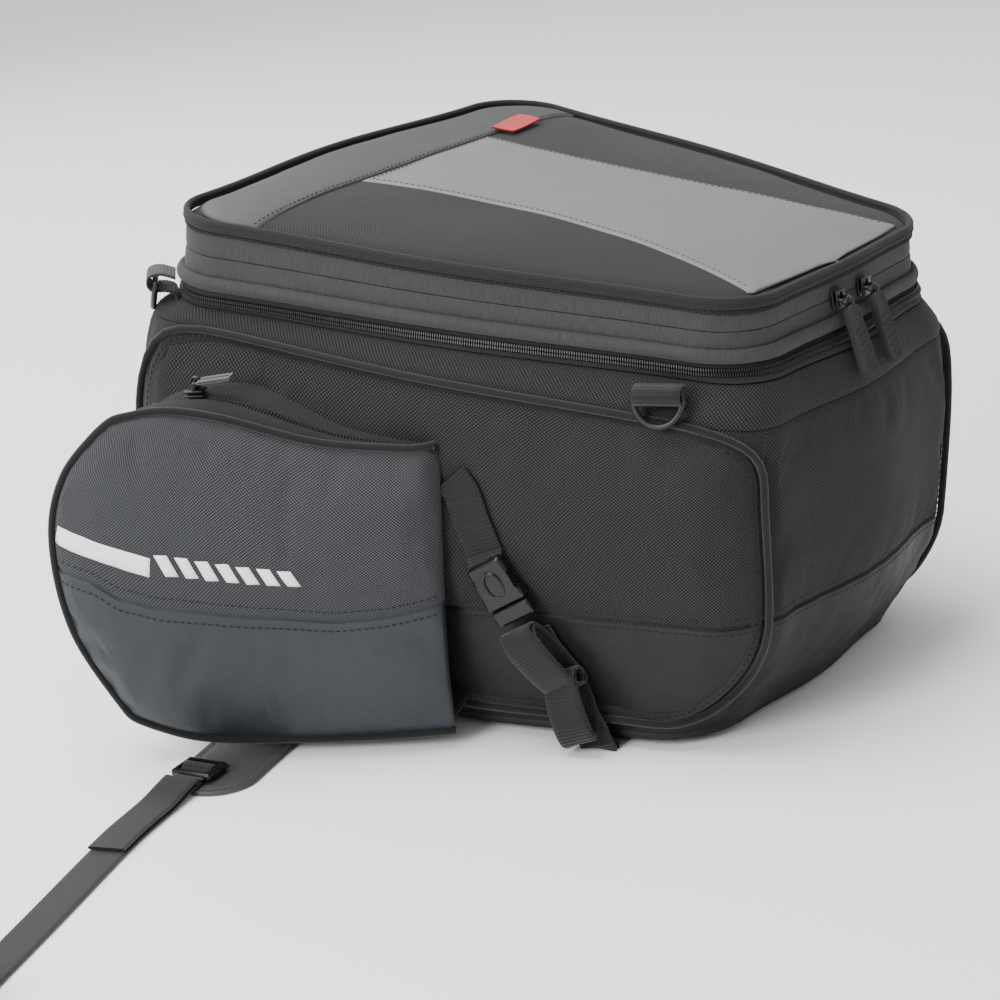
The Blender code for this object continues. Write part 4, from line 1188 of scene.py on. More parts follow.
def make_lid_strip():
    """The coated strip across the front of the lid, from the seam to the bound edge."""

    def rim_u(s):
        """Round the front of the lid, from where its edge crosses the seam on the left to the right."""
        return (0.5 - s) * 2 * turn

    turn = halved(0.10, 0.30, lambda u: lid_surface(u, 0.97).y > LID_SEAM_Y, 24)
    across, ahead = 90, 18
    grid = []
    for i in range(across + 1):
        s = i / across
        rim = lid_surface(rim_u(s) % 1.0, 0.970)
        half = abs(lid_surface(turn, 0.970).x)
        foot = Vector((-half + 2 * half * s, LID_SEAM_Y, 0))
        row = []
        for j in range(ahead + 1):
            t = (j / ahead) ** 1.3
            x, y = foot.x + (rim.x - foot.x) * t, foot.y + (rim.y - foot.y) * t
            near = y - LID_SEAM_Y
            lift = 1.2 * smoothstep(0, 1.6, near + 0.05) - 0.4 * math.exp(-(((near - 3.2) / 1.1) ** 2))
            lift -= 1.2 * smoothstep(0.9, 1.0, j / ahead)
            row.append(lid_point(x, y, 0.1 + lift))
        grid.append(row)
    obj = lattice("lid_front_strip", grid, "coated_strip", face_out=Vector((0, 0, 0)))
    thicken(obj, 0.8)
    put(obj, "lid", "lid_coated_fabric")
    half = abs(lid_surface(turn, 0.97).x) - 1
    path = [lid_point(-half + 2 * half * k / 80, LID_SEAM_Y + 3.0, 1.1) for k in range(81)]
    stitches("lid_strip_stitches", path, [UP] * len(path), "lid")


def make_lid_tab():
    """The small folded tab that stands out of the lid's front seam."""
    width, length, thick = 34.0, 15.0, 1.0
    x, y = 84.0, LID_SEAM_Y - 1.0
    ahead = Vector((0.0, 1.0, 0.13)).normalized()
    right = Vector((1.0, 0.14, 0.0)).normalized()
    origin = Vector((x, y, lid_height(x, y) + 3.0))
    grid = []
    for i in range(13):
        a = width * (i / 12 - 0.5)
        row = []
        for layer, low in ((1, thick / 2), (-1, -thick / 2)):
            for j in range(9):
                b = length * (j / 8 - 0.5) * layer
                lift = low + 0.35 * math.sin(a / 9.0 + b / 6.0)
                row.append(origin + right * a + ahead * b + right.cross(ahead) * lift)
        grid.append(row)
    obj = lattice("lid_tab_label", grid, "tab_weave", closed_v=True, caps=True)
    put(obj, "lid", "tab_fabric", "lid_tab")


# ---------------------------------------------------------------- side pockets

POCKET_REAR = Vector((-154.0, -6.0, 0.0))
POCKET_FRONT = Vector((-257.0, 171.0, 0.0))
POCKET_BULGE = 13.0
POCKET_THICK = 2.6
POCKET_TOP = ((0, 162), (58, 168), (110, 184), (140, 189), (166, 185))
POCKET_NOSE = ((166, 185), (192, 158), (203, 122), (198, 72), (174, 24))
POCKET_FLOOR = ((174, 24), (140, 12), (90, 9), (45, 9), (0, 11))
NOSE_FROM, TOP_FROM = 0.36, 0.66
POCKET_JOIN_Y = 136.0
# Where the pocket's coated lower part ends, as distance forward and height
POCKET_SEAM = ((-12, 82), (4, 81), (28, 78), (54, 77), (91, 81))
POCKET_SEAM += ((144, 88.5), (166, 94), (184, 104), (201, 108.5), (215, 110))


def along_run(run, t):
    """The point at the fraction t of a smooth curve through the run's places."""
    last = len(run) - 1
    i = min(int(t * last), last - 1)
    nearby = (Vector(run[min(max(k, 0), last)]) for k in range(i - 1, i + 3))
    return curve_between(*nearby, t * last - i)


def pocket_frame(side):
    """The pocket's rear corner on the ground, its forward direction and its outward one."""
    forward = (POCKET_FRONT - POCKET_REAR).normalized()
    outward = Vector((-forward.y, forward.x, 0))
    mirror = Matrix.Diagonal((-side, 1, 1))
    return mirror @ POCKET_REAR, mirror @ forward, mirror @ outward


def pocket_face(side, s, t, lift=0.0):
    """The outer face, with s forward from the rear edge and t up, bulging in the middle."""
    origin, forward, outward = pocket_frame(side)
    floor, top = along_run(POCKET_FLOOR, 1 - s), along_run(POCKET_TOP, s)
    nose = along_run(POCKET_NOSE, 1 - t)
    rear_low, rear_high = Vector(POCKET_FLOOR[-1]), Vector(POCKET_TOP[0])
    nose_low, nose_high = Vector(POCKET_FLOOR[0]), Vector(POCKET_TOP[-1])
    flat = floor.lerp(top, t) + rear_low.lerp(rear_high, t).lerp(nose, s)
    flat -= rear_low.lerp(rear_high, t).lerp(nose_low.lerp(nose_high, t), s)
    dome = (1 - (2 * s - 1) ** 4) * (1 - (2 * t - 1) ** 4)
    return origin + forward * flat.x + Vector((0, 0, flat.y)) + outward * (POCKET_BULGE * dome + lift)


def pocket_rim(side, t):
    """The face's edge, from the rear bottom round the front to the rear top."""
    origin, forward, _ = pocket_frame(side)
    if t < NOSE_FROM:
        p = along_run(POCKET_FLOOR, 1 - t / NOSE_FROM)
    elif t < TOP_FROM:
        p = along_run(POCKET_NOSE, 1 - (t - NOSE_FROM) / (TOP_FROM - NOSE_FROM))
    else:
        p = along_run(POCKET_TOP, 1 - (t - TOP_FROM) / (1 - TOP_FROM))
    return origin + forward * p.x + Vector((0, 0, p.y))


def pocket_root(side, t):
    """The line where the pocket's gusset meets the bag, across from pocket_rim(side, t)."""
    rim = pocket_rim(side, t)
    z = min(max(rim.z + 2.0, 22.0), 190.0)
    y = min(rim.y, POCKET_JOIN_Y - 0.8 * max(60.0 - z, 0.0)) - 4.0 * math.sin(math.pi * t)
    point, normal = skin_at(y, z, side)
    return point + normal * 2.4


def pocket_gusset(side, s, t):
    """The band round the pocket: s along pocket_rim, and t from the rim in to the bag."""
    rim, root = pocket_rim(side, s), pocket_root(side, s)
    inward = (root - rim).normalized()
    clear = (POCKET_THICK + 2.2) / max(-inward.dot(pocket_frame(side)[2]), 0.4)
    return (rim + inward * clear).lerp(root, t)


def seam_height(ahead):
    """The height of the seam between the pocket's two cloths, this far forward."""
    for (a, low), (b, high) in zip(POCKET_SEAM, POCKET_SEAM[1:]):
        if ahead <= b:
            rise = high - low
            eased = low + rise * smoothstep(a, b, ahead) * 0.35
            return eased + rise * 0.65 * (ahead - a) / (b - a)
    return POCKET_SEAM[-1][1]


def pocket_seam_t(side, s):
    """How far up the pocket's face that seam is, at s."""
    origin, forward, _ = pocket_frame(side)

    def below(t):
        point = pocket_face(side, s, t)
        return point.z < seam_height((point - origin).dot(forward))

    return halved(0.02, 0.98, below, 18)


def pocket_cloth(side, s, t, lift=0.0):
    """A point of the pocket's outer cloth, which curls in to its rear seam and is a little uneven."""
    _, forward, outward = pocket_frame(side)
    curl = 0.075
    s += (1 - s) * 0.052 * max(0.0, 1 - 1.15 * t)
    point = pocket_face(side, max(s, curl * 0.6), t, lift)
    rear = smoothstep(curl, 0.0, s)
    bend = math.radians(82) * max(0.0, 1 - s / curl)
    radius = 13.0
    if s < curl:
        anchor = pocket_face(side, curl, t, lift)
        point = anchor - forward * radius * math.sin(bend) - outward * radius * (1 - math.cos(bend))
    edge = min((1 - s) * 200, t * 150, (1 - t) * 150)
    point -= outward * 1.6 * smoothstep(7, 0, edge)
    flat = Vector((point.dot(forward), point.z, 40.0 * side))
    uneven = 1.4 * crease(flat, 66.0, 3.0) + 0.2 * crease(flat, 20.0, 6.0)
    tension = 0.5 * math.sin(point.z / 5.2 + 2.0 * crease(flat, 40.0)) * smoothstep(0.25, 0.06, s)
    return point + outward * (uneven + tension) * smoothstep(0, 12, edge) * (1 - 0.4 * rear)


POCKET_SHIFTS, POCKET_ROWS = {}, {}


def pocket_shift(side, s, t):
    """How far the settled cloth has moved at this point of the pocket."""
    moved, rows = POCKET_SHIFTS[side], POCKET_ROWS[side]
    i = min(int(s * (len(moved) - 1)), len(moved) - 2)
    ts = rows[i]
    j = next((j for j in range(len(ts) - 2) if ts[j + 1] >= t), len(ts) - 2)
    a, b = s * (len(moved) - 1) - i, min(max((t - ts[j]) / (ts[j + 1] - ts[j]), 0), 1)
    return moved[i][j].lerp(moved[i][j + 1], b).lerp(moved[i + 1][j].lerp(moved[i + 1][j + 1], b), a)


def make_pocket_shell(side, sign):
    name = f"pocket_shell_{side}"
    lower = [0.0, 0.02, 0.05] + [0.1 + 0.8 * k / 15 for k in range(16)] + [0.94, 0.965, 0.985]
    upper = [0.018, 0.04, 0.07] + [0.12 + 0.78 * k / 18 for k in range(19)] + [0.94, 0.97, 0.99, 1.0]
    grid, count = [], 84
    POCKET_ROWS[sign] = []
    for i in range(count + 1):
        s = i / count
        seam = pocket_seam_t(sign, s)
        above = [seam + (1 - seam) * b for b in (0.008, *upper)]
        POCKET_ROWS[sign].append([seam * a for a in (*lower, 0.996)] + above)
        row = [pocket_cloth(sign, s, seam * a, 0.5 * smoothstep(0.80, 0.95, a)) for a in lower]
        row.append(pocket_cloth(sign, s, seam * 0.996, -0.7))
        row.append(pocket_cloth(sign, s, seam + (1 - seam) * 0.008, -0.8))
        row += [pocket_cloth(sign, s, seam + (1 - seam) * b, -0.25 * smoothstep(0.06, 0.0, b)) for b in upper]
        grid.append(row)
    edge = len(lower)
    origin, forward, outward = pocket_frame(sign)
    inside = origin + forward * 90 - outward * 60 + UP * 90
    last = len(grid[0]) - 1

    def sewn(i, j):
        return i < 2 or i > count - 2 or j < 2 or j > last - 2 or edge - 5 < j < edge + 6

    grid, POCKET_SHIFTS[sign] = settled(grid, inside, sewn, 6.0, 4.0)
    finishes = ["pocket_weave", "coated_slate", "lining", "lining"]
    obj = lattice(name, grid, finishes, slot_of=lambda i, j: int(j <= edge), face_out=inside)
    thicken(obj, 2.2, 2, 2)
    put(obj, "bag_body", "coated_fabric", f"pocket_panel_{side}")
    for row, drop in (("lower", -0.03), ("upper", 0.03)):
        path = []
        for k in range(121):
            s = 0.02 + 0.965 * k / 120
            t = pocket_seam_t(sign, s) + drop
            path.append(pocket_cloth(sign, s, t, 0.75 if drop < 0 else 0.25))
        stitches(f"pocket_seam_stitches_{row}_{side}", path, [outward] * len(path), "bag_body")


def make_pocket_gusset(side, sign):
    """The band round the pocket, with the zip's groove along the top of it."""
    along, across = 150, 22
    _, forward, outward = pocket_frame(sign)
    middle = pocket_frame(sign)[0] + forward * 100 - outward * 40 + UP * 95
    rows, lines = [], {"outer": [], "inner": []}
    outs = []
    for i in range(along + 1):
        s = 0.028 + 0.962 * i / along
        plain = [pocket_gusset(sign, s, t) for t in (0, 1)]
        wide = (plain[-1] - plain[0]).length
        near, far = -3.4 / wide, 1 + 2.0 / wide
        plain = [pocket_gusset(sign, s, near + (far - near) * j / across) for j in range(across + 1)]
        ends = [pocket_gusset(sign, min(max(at, 0.005), 0.995), 0.5) for at in (s - 0.01, s + 0.01)]
        ahead = (ends[1] - ends[0]).normalized()
        inward = (plain[-1] - plain[0]).normalized()
        out = ahead.cross(inward).normalized()
        if out.dot(plain[across // 2] - middle) < 0:
            out = -out
        zipped = smoothstep(0.44, 0.50, s)
        zip_t = 0.45
        row = []
        for j, point in enumerate(plain):
            t = min(max(near + (far - near) * j / across, 0.0), 1.0)
            gap = (t - zip_t) * wide
            over = t / zip_t if t < zip_t else (t - zip_t) / (1 - zip_t)
            soft = 1.6 * math.sin(math.pi * over) ** 0.7
            groove = -1.3 * math.exp(-((gap / 3.4) ** 2))
            plain_band = 1.5 * math.sin(math.pi * t) ** 0.7
            shape = zipped * (soft + groove) + (1 - zipped) * plain_band
            shape += 0.5 * crease(point, 30.0, 7.0) * math.sin(math.pi * t)
            row.append(point + out * (shape - 0.6))
        rows.append(row)
        if s > 0.50:
            base = pocket_gusset(sign, s, zip_t) + out * (-1.2)
            lines["outer"].append(base - inward * 0.2)
            lines["inner"].append(base + inward * 0.2)
            outs.append(out)
    obj = lattice(f"pocket_gusset_band_{side}", rows, ["ballistic", "lining"], face_out=middle)
    thicken(obj, 1.4, 1)
    put(obj, "bag_body", "ballistic_fabric", f"pocket_gusset_{side}")
    for half, turn in (("outer", sign), ("inner", -sign)):
        line = lines[half], outs
        zip_teeth(f"pocket_coil_{half}_{side}", line, "bag_body", turn, pitch=1.7, size=(1.1, 2.4, 1.2))


def make_pocket_piping(side, sign):
    _, _, outward = pocket_frame(sign)
    edge = [pocket_cloth(sign, k / 110, 0.0) for k in range(109)]
    edge += [pocket_cloth(sign, 1.0, 0.03 + 0.94 * k / 60) for k in range(61)]
    edge += [pocket_cloth(sign, 1 - k / 110, 1.0) for k in range(2, 111)]
    edge = smooth_route(respaced(edge, 9.0), 260)
    path, outs = [], []
    for k, point in enumerate(edge):
        along = heading(edge, k, reach=2)
        away = outward.cross(along).normalized() * -sign
        path.append(point + away * 0.9 + outward * 0.4)
        outs.append((outward + away).normalized())
    bead = sweep(f"pocket_piping_bead_{side}", path, outs, circle(2.1, 14), "tape")
    put(bead, "bag_body", "binding_tape", f"pocket_piping_{side}")


def on_pocket(side, ahead, height, lift):
    """The point of the pocket's cloth this far forward and this high."""
    origin, forward, _ = pocket_frame(side)
    s, t = min(max(ahead / 200, 0.05), 0.97), 0.5

    def miss(s, t):
        point = pocket_face(side, s, t)
        return Vector(((point - origin).dot(forward) - ahead, point.z - height))

    step = 1e-3
    for _ in range(6):
        here = miss(s, t)
        ds, dt = (miss(s + step, t) - here) / step, (miss(s, t + step) - here) / step
        scale = ds.x * dt.y - ds.y * dt.x
        s -= (here.x * dt.y - here.y * dt.x) / scale
        t -= (ds.x * here.y - ds.y * here.x) / scale
        s, t = min(max(s, 0.0), 1.0), min(max(t, 0.0), 1.0)
    return pocket_cloth(side, s, t, lift) + pocket_shift(side, s, t)


def pocket_patch(name, sign, corners, steps):
    """A thin patch on the pocket's face between four corners, as distance forward and height."""
    low_a, low_b, high_b, high_a = (Vector(c) for c in corners)
    grid = []
    for i in range(steps[0] + 1):
        row = []
        for j in range(steps[1] + 1):
            place = low_a.lerp(low_b, i / steps[0]).lerp(high_a.lerp(high_b, i / steps[0]), j / steps[1])
            row.append(on_pocket(sign, place.x, place.y, 0.45))
        grid.append(row)
    origin, forward, outward = pocket_frame(sign)
    obj = lattice(name, grid, "reflective_tape", face_out=origin + forward * 90 - outward * 60 + UP * 90)
    thicken(obj, 0.5)
    return obj


def make_pocket_marks(side, sign):
    """A reflective stripe, and a row of slanted reflective bars beside it."""
    corners = ((201, 123.5), (150, 106.5), (148, 117.0), (198, 133.0))
    stripe = pocket_patch(f"pocket_stripe_{side}", sign, corners, (24, 4))
    put(stripe, "bag_body", "webbing")
    bars = []
    for k in range(7):
        ahead = 141 - 10.6 * k
        base = seam_height(ahead) + 18.5
        wide, tall, slant = 6.8, 11.5 - 0.5 * k, 5.0
        foot = (ahead, base), (ahead - wide, base - 0.5)
        head = (ahead - wide + slant, base + tall), (ahead + slant, base + tall + 0.5)
        bars.append(pocket_patch(f"bar_{side}_{k}", sign, (*foot, *head), (3, 4)))
    put(joined(f"pocket_bars_{side}", bars), "bag_body", "webbing")


# ---------------------------------------------------------------- zip sliders and their pulls

SLIDER_DEPTH, BRIDGE_REACH = 3.6, 4.6
BRIDGE_OUT = SLIDER_DEPTH + BRIDGE_REACH - 1.0


def rod(name, path, radius, finish, closed=False, sides=10, squash=1.0):
    """A round bar along the path."""
    outs = []
    for k in range(len(path)):
        along = heading(path, k, closed)
        guide = UP if abs(along.normalized().z) < 0.9 else Vector((1, 0, 0))
        outs.append((guide - along * guide.dot(along) / along.length_squared).normalized())
    if closed:
        middle = sum(path, Vector()) / len(path)
        outs = [(point - middle).normalized() for point in path]
    return sweep(name, path, outs, circle(radius, sides, squash), finish, closed=closed)


def slider_piece(name, body, place, crown=False):
    """A zip slider: a waisted body with its two plates, and the bridge that holds the pull."""
    depth = SLIDER_DEPTH

    def waist(x, y, z):
        return x * (1.12 if z > 0 else 0.82), y, z

    parts = []
    for lift, thick in ((0.6, 1.2), (depth - 0.6, 1.2)):
        spot = shifted(place, 0, -lift, 0)
        parts.append(soft_block(f"{name}_plate", (9.0, thick, 10.0), spot, "plastic", 0.55, 3, waist))
    wedge = shifted(place, 0, -depth / 2, 1.2)
    parts.append(soft_block(f"{name}_wedge", (3.4, depth, 6.0), wedge, "plastic", 0.5))
    half, top = 3.3, depth + BRIDGE_REACH - 1.0
    arch = []
    for k in range(15):
        angle = math.pi * k / 14
        swell = abs(math.sin(angle)) ** 0.5
        lift = depth - 0.8 + (top - depth + 0.8) * swell
        arch.append(place @ Vector((-half * math.cos(angle), -lift, 0)))
    parts.append(rod(f"{name}_bridge", arch, 1.05, "plastic"))
    if crown:
        for k in range(5):
            angle = math.radians(-64 + 32 * k)
            spot = shifted(place, 3.1 * math.sin(angle), -top + 0.1 - 0.5 * math.cos(angle), 0)
            spot = spot @ Matrix.Rotation(-angle, 4, "Y")
            parts.append(soft_block(f"{name}_point", (1.3, 1.9, 4.6), spot, "plastic", 0.45))
    return put(joined(name, parts), body, "black_plastic", body)


def rounded_outline(width, length, radius, steps=6, neck=0.0):
    """Places round a rounded rectangle that hangs down from z = 0. neck narrows its top."""
    spots = []
    corners = (
        (width / 2 - radius, -radius, 0),
        (-(width / 2 - radius), -radius, 90),
        (-(width / 2 - radius), -(length - radius), 180),
        (width / 2 - radius, -(length - radius), 270),
    )
    for x, z, start in corners:
        for k in range(steps + 1):
            angle = math.radians(start + 90 * k / steps)
            px, pz = x + radius * math.cos(angle), z + radius * math.sin(angle)
            spots.append((px * (1 - neck * smoothstep(-length * 0.45, 0, pz)), pz))
    return spots


def pad_shape(name, place, outline, thick, finish, dish=0.5, rim=1.3):
    """A moulded pad with a raised rim: the outline drawn in, in rings, on both faces."""
    low = sum(z for _, z in outline) / len(outline)
    width, half = max(x for x, _ in outline), thick / 2
    levels = ((0.0, half - 0.7), (0.25, half - 0.15), (0.8, half), (rim, half - 0.1), (rim + 0.6, half - dish))
    rings = []
    for inset, y in levels:
        wide, tall = 1 - inset / width, 1 + inset / low
        rings.append([(x * wide, y, low + (z - low) * tall) for x, z in outline])
    bm = bmesh.new()
    loops = []
    for sign in (1, -1):
        for ring in rings if sign < 0 else rings[::-1]:
            loops.append([bm.verts.new(place @ Vector((x, sign * y, z))) for x, y, z in ring])
    return skinned(name, bm, [loops], finish, 35)


def wire_eye(name, place):
    spots = ((2.5 * math.sin(a), 2.5 * math.cos(a) - 0.6) for a in round_angles(24))
    return rod(name, [place @ Vector((0, y, z)) for y, z in spots], 0.75, "plastic", closed=True, sides=8)


def rubber_pull(name, place, size, lean, ribs):
    """A moulded pull with a raised rim and grip ribs, on a wire eye."""
    width, thick, length = size
    place = place @ Matrix.Rotation(-math.radians(lean), 4, "X")
    top = shifted(place, 0, 0, -2.7)
    outline = rounded_outline(width, length + 0.2, width * 0.36, neck=0.22)
    parts = [pad_shape(name, top, outline, thick, "rubber")]
    for k in range(ribs):
        z = -length * (0.36 + 0.50 * k / (ribs - 1))
        for face in (1, -1):
            spot = shifted(top, 0, face * (thick / 2 - 0.45), z)
            parts.append(soft_block(f"{name}_rib", (width * 0.52, 0.7, 1.1), spot, "rubber", 0.3, 2))
    parts.append(wire_eye(f"{name}_eye", place))
    put(joined(f"{name}_piece", parts), name, "rubber", name)


def webbing_pull(name, place, size, lean):
    """A folded loop of light webbing on a wire eye, with a dark line woven down its middle."""
    width, thick, length = size
    place = place @ Matrix.Rotation(-math.radians(lean), 4, "X")
    half = thick / 2 - 0.35
    loop = [(half, -2.2 - length), (half + 0.1, -2.2 - length * 0.6), (half, -4.5)]
    loop += [(half * 0.7, -2.6), (0.0, -1.6)]
    loop += [(-y, z) for y, z in loop[-2::-1]]
    path = smooth_route([(0, y, z) for y, z in loop], 60)
    path = [place @ point for point in path]
    middle = place @ Vector((0, 0, -2.2 - length / 2))
    x = (place.to_3x3() @ Vector((1, 0, 0))).normalized()
    outs = []
    for k in range(len(path)):
        out = x.cross(heading(path, k).normalized())
        outs.append(out if out.dot(path[k] - middle) > 0 or k in range(25, 35) else -out)
    profile = [(a, b - 0.35) for a, b in flat_profile(width, 0.7, 6)]
    parts = [sweep(name, path, outs, profile, "pull_webbing")]
    for face in (1, -1):
        zs = [-4.5 - (length - 3.6) * k / 12 for k in range(13)]
        line = [place @ Vector((0, face * (thick / 2 + 0.02), z)) for z in zs]
        out = (place.to_3x3() @ Vector((0, face, 0))).normalized()
        parts.append(sweep(f"{name}_line", line, [out] * 13, flat_profile(1.8, 0.18, 2), "tape"))
    parts.append(wire_eye(f"{name}_eye", place))
    put(joined(f"{name}_piece", parts), name, "webbing", name)


def rear_face_place(x, v, out):
    """On the bag's rear, this far to the right and this far up the levels."""
    u = halved(0.46, 0.54, lambda u: skin(u, v).x < x, 24)
    return basis(off_skin(u, v, out), (1, 0, 0), (0, 0, 1))


MAIN_SLIDERS = {"left": -13.0, "right": 13.0}
MAIN_PULL_LEAN = 17.0
POCKET_SLIDER_S, POCKET_SLIDER_T = 0.745, 0.45
POCKET_PULL_LEAN = 9.0


def pocket_slider_place(side):
    step = 0.02
    here = pocket_gusset(side, POCKET_SLIDER_S, POCKET_SLIDER_T)
    forward = here - pocket_gusset(side, POCKET_SLIDER_S + step, POCKET_SLIDER_T)
    inward = pocket_gusset(side, POCKET_SLIDER_S, POCKET_SLIDER_T + 0.1) - here
    up = inward.cross(forward).normalized()
    up = up if up.z > 0 else -up
    across = (-up).cross(forward).normalized()
    return basis(here + up * 1.0, across, forward)


def make_sliders():
    reach = Matrix.Translation((0, -BRIDGE_OUT, 0))
    for side, x in MAIN_SLIDERS.items():
        place = rear_face_place(x, LID_ZIP, 1.6)
        name = f"main_slider_{side}"
        slider_piece(f"{name}_body", name, place, crown=True)
        rubber_pull(f"main_pull_{side}", place @ reach, (12.5, 4.6, 37.0), MAIN_PULL_LEAN, 6)
    place = basis(off_skin(0.0, EXPANSION_ZIP + 0.3, 4.0), (-1, 0, 0), (0, 0, 1))
    slider_piece("expansion_slider_body", "expansion_slider", place)
    rubber_pull("expansion_pull", place @ reach, (7.0, 2.4, 24.0), 25.0, 4)
    for side, sign in SIDES.items():
        place = pocket_slider_place(sign)
        name = f"pocket_slider_{side}"
        slider_piece(f"{name}_body", name, place)
        webbing_pull(f"pocket_pull_{side}", place @ reach, (8.6, 1.7, 18.0), POCKET_PULL_LEAN)


# ---------------------------------------------------------------- D-rings

RING_WIRE_R, RING_WIDTH, RING_DROP, RING_LEAN = 1.6, 25.0, 15.0, 12.0
RIB_STEP = 0.45  # from one section to the next, along webbing whose ribs are modelled
RINGS = {"rear": (0.385, SHOULDER + 0.3, 11.6), "front": (0.128, SHOULDER + 0.3, 12.2)}


def ring_place(end, sign):
    """On the ring's bar: X along it, Y into the bag, Z up."""
    u, v, out = RINGS[end]
    mirror = Matrix.Diagonal((-sign, 1, 1))
    point, normal = mirror @ off_skin(u, v, out), mirror @ skin_normal(u, v)
    level_out = Vector((normal.x, normal.y, 0)).normalized()
    return basis(point, level_out.cross(Vector((0, 0, -1))), (0, 0, 1))


def ribbed_profile(width, thick, rib, depth):
    """A webbing section whose thickness rises and falls along the strap, for its cross ribs."""

    def section(k):
        swell = depth * abs(math.sin(math.pi * k * RIB_STEP / rib)) ** 1.5
        return [(x, z + (swell if z > thick / 2 else -swell)) for x, z in flat_profile(width, thick, 6)]

    return section


def make_ring(end, side, sign):
    name = f"{end}_{side}"
    place = ring_place(end, sign)
    reach = RINGS[end][2]
    tilt = place @ Matrix.Rotation(-math.radians(RING_LEAN), 4, "X")
    half = RING_WIDTH / 2
    arc = [math.pi * k / 30 for k in range(31)]
    outline = [Vector((half * math.cos(a), 0, -RING_DROP * math.sin(a))) for a in arc]
    outline += [Vector((-half + RING_WIDTH * k / 8, 0, 0)) for k in range(1, 8)]
    wire = [tilt @ p for p in outline]
    ring = rod(f"d_ring_{name}_ring", wire, RING_WIRE_R, "plastic", closed=True, sides=12)
    put(ring, f"d_ring_{name}", "black_plastic", f"d_ring_{name}")
    deep = reach - 1.6
    around = [(deep, -10.0), (deep - 1.2, -6.5), (5.0, -4.6), (1.6, -4.3), (-1.8, -3.9)]
    around += [(-3.9, -1.9), (-4.3, 0.6), (-3.2, 3.2), (-0.6, 4.4), (3.0, 4.5), (6.0, 3.6), (deep, 1.6)]
    path = respaced(smooth_route([(0, y, z) for y, z in around], 120), RIB_STEP)
    path = [place @ point for point in path]
    x = (place.to_3x3() @ Vector((1, 0, 0))).normalized()
    outs = [heading(path, k).normalized().cross(x) for k in range(len(path))]
    middle = place @ Vector((0, 2, 0))
    if sum(out.dot(point - middle) for out, point in zip(outs, path)) < 0:
        outs = [-out for out in outs]
    ribbed = ribbed_profile(24.0, 1.1, 1.8, 0.22)

    def section(k):
        return [(a, b - 0.55) for a, b in ribbed(k)]

    loop = sweep(f"ring_loop_{name}_webbing", path, outs, section, "webbing_cross")
    put(loop, "bag_body", "webbing", f"ring_loop_{name}")
    run_length(path) * MM


# ---------------------------------------------------------------- rear straps and their buckles

STRAP_TOP = ((-13.0, 139.0, 3.0), (-17.0, 124.0, 3.0), (-22.5, 107.0, 3.0))
BUCKLE_TOP = (-23.0, 105.0)
BUCKLE_END = (-41.0, 69.0)
STRAP_LOW = ((-42.5, 66.0, 3.2), (-50.0, 50.0, 3.2), (-58.0, 30.0, 5.2), (-65.0, 13.0, 9.4))
STRAP_TUCK = 26.0
BUCKLE_OUT = 7.0
SOCKET_SIZE = (24.0, 9.0, 25.0)
PLUG_TONGUE = (18.0, 4.4, 19.0)
PLUG_FOOT = (23.0, 8.0, 9.0)


def buckle_place(sign):
    """In the middle of the buckle's top edge: X across, Y into the bag, Z up the strap."""
    (top, normal), (end, _) = (skin_at(*p, sign) for p in (BUCKLE_TOP, BUCKLE_END))
    top, end = top + normal * BUCKLE_OUT, end + normal * BUCKLE_OUT
    up = (top - end).normalized()
    return basis(top, normal.cross(up), up)


def on_side(places, sign, count):
    """A line over the bag's side through these places, and the surface's normals along it."""
    found = [(*skin_at(y, z, sign), out) for y, z, out in places]
    line = [p + n * out for p, n, out in found]
    return smooth_route(line, count), smooth_route([n for _, n, _ in found], count)


def webbing_strip(name, path, outs, width, thick=1.3, finish="webbing_cross", ribs=True):
    """Webbing along a line, with its ribs modelled, and its flat size. outs are matched to the respaced line."""
    fine = respaced(path, RIB_STEP if ribs else 2.0)
    matched = []
    for k in range(len(fine)):
        spot = k / (len(fine) - 1) * (len(outs) - 1)
        i = min(int(spot), len(outs) - 2)
        matched.append(outs[i].lerp(outs[i + 1], spot - i).normalized())
    section = ribbed_profile(width, thick, 1.9, 0.2) if ribs else (lambda k: flat_profile(width, thick))
    return sweep(name, fine, matched, section, finish), (width * MM, run_length(fine) * MM)


def make_rear_strap(side, sign):
    points, normals = on_side(((-7.5, 147.0, 2.4), *STRAP_TOP), sign, 18)
    points = [p - n * 1.4 for p, n in zip(points, normals)]
    place = buckle_place(sign)
    name = f"rear_strap_upper_{side}"
    run = [*points, place @ Vector((0, -0.5, -2.0))]
    upper, flat = webbing_strip(f"{name}_webbing", run, [*normals, normals[-1]], WEBBING_WIDTH)
    put(upper, "bag_body", "webbing", name)
    points, normals = on_side(STRAP_LOW, sign, 30)
    for k, (point, normal) in enumerate(zip(points, normals)):
        point += normal * (-1.2 + 1.8 * math.sin(k / 29 * 3 * math.pi) ** 2 * smoothstep(0, 6, k))
    last, out = points[-1], Vector((normals[-1].x, normals[-1].y, 0)).normalized()
    inwards = -out
    corner = Vector((last.x, last.y - 3.0, 3.0)) + inwards
    tucked = Vector((corner.x, corner.y - 2.0, 1.6)) + inwards * STRAP_TUCK
    route = smooth_route([*points[::3], last, corner, corner + inwards * 6 - UP, tucked], 80)
    outs = smooth_route([*normals[::3], normals[-1], (out - UP).normalized(), -UP, -UP], 80)
    for point in route:
        point.z = max(point.z, 1.7)
    name = f"rear_strap_lower_{side}"
    lower, flat = webbing_strip(f"{name}_webbing", route, outs, WEBBING_WIDTH)
    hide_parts(name)
    points[-2] * MM
    points[0] * MM
    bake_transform(lower)
    make_slack(side, points, normals)
    make_buckle(side, place)


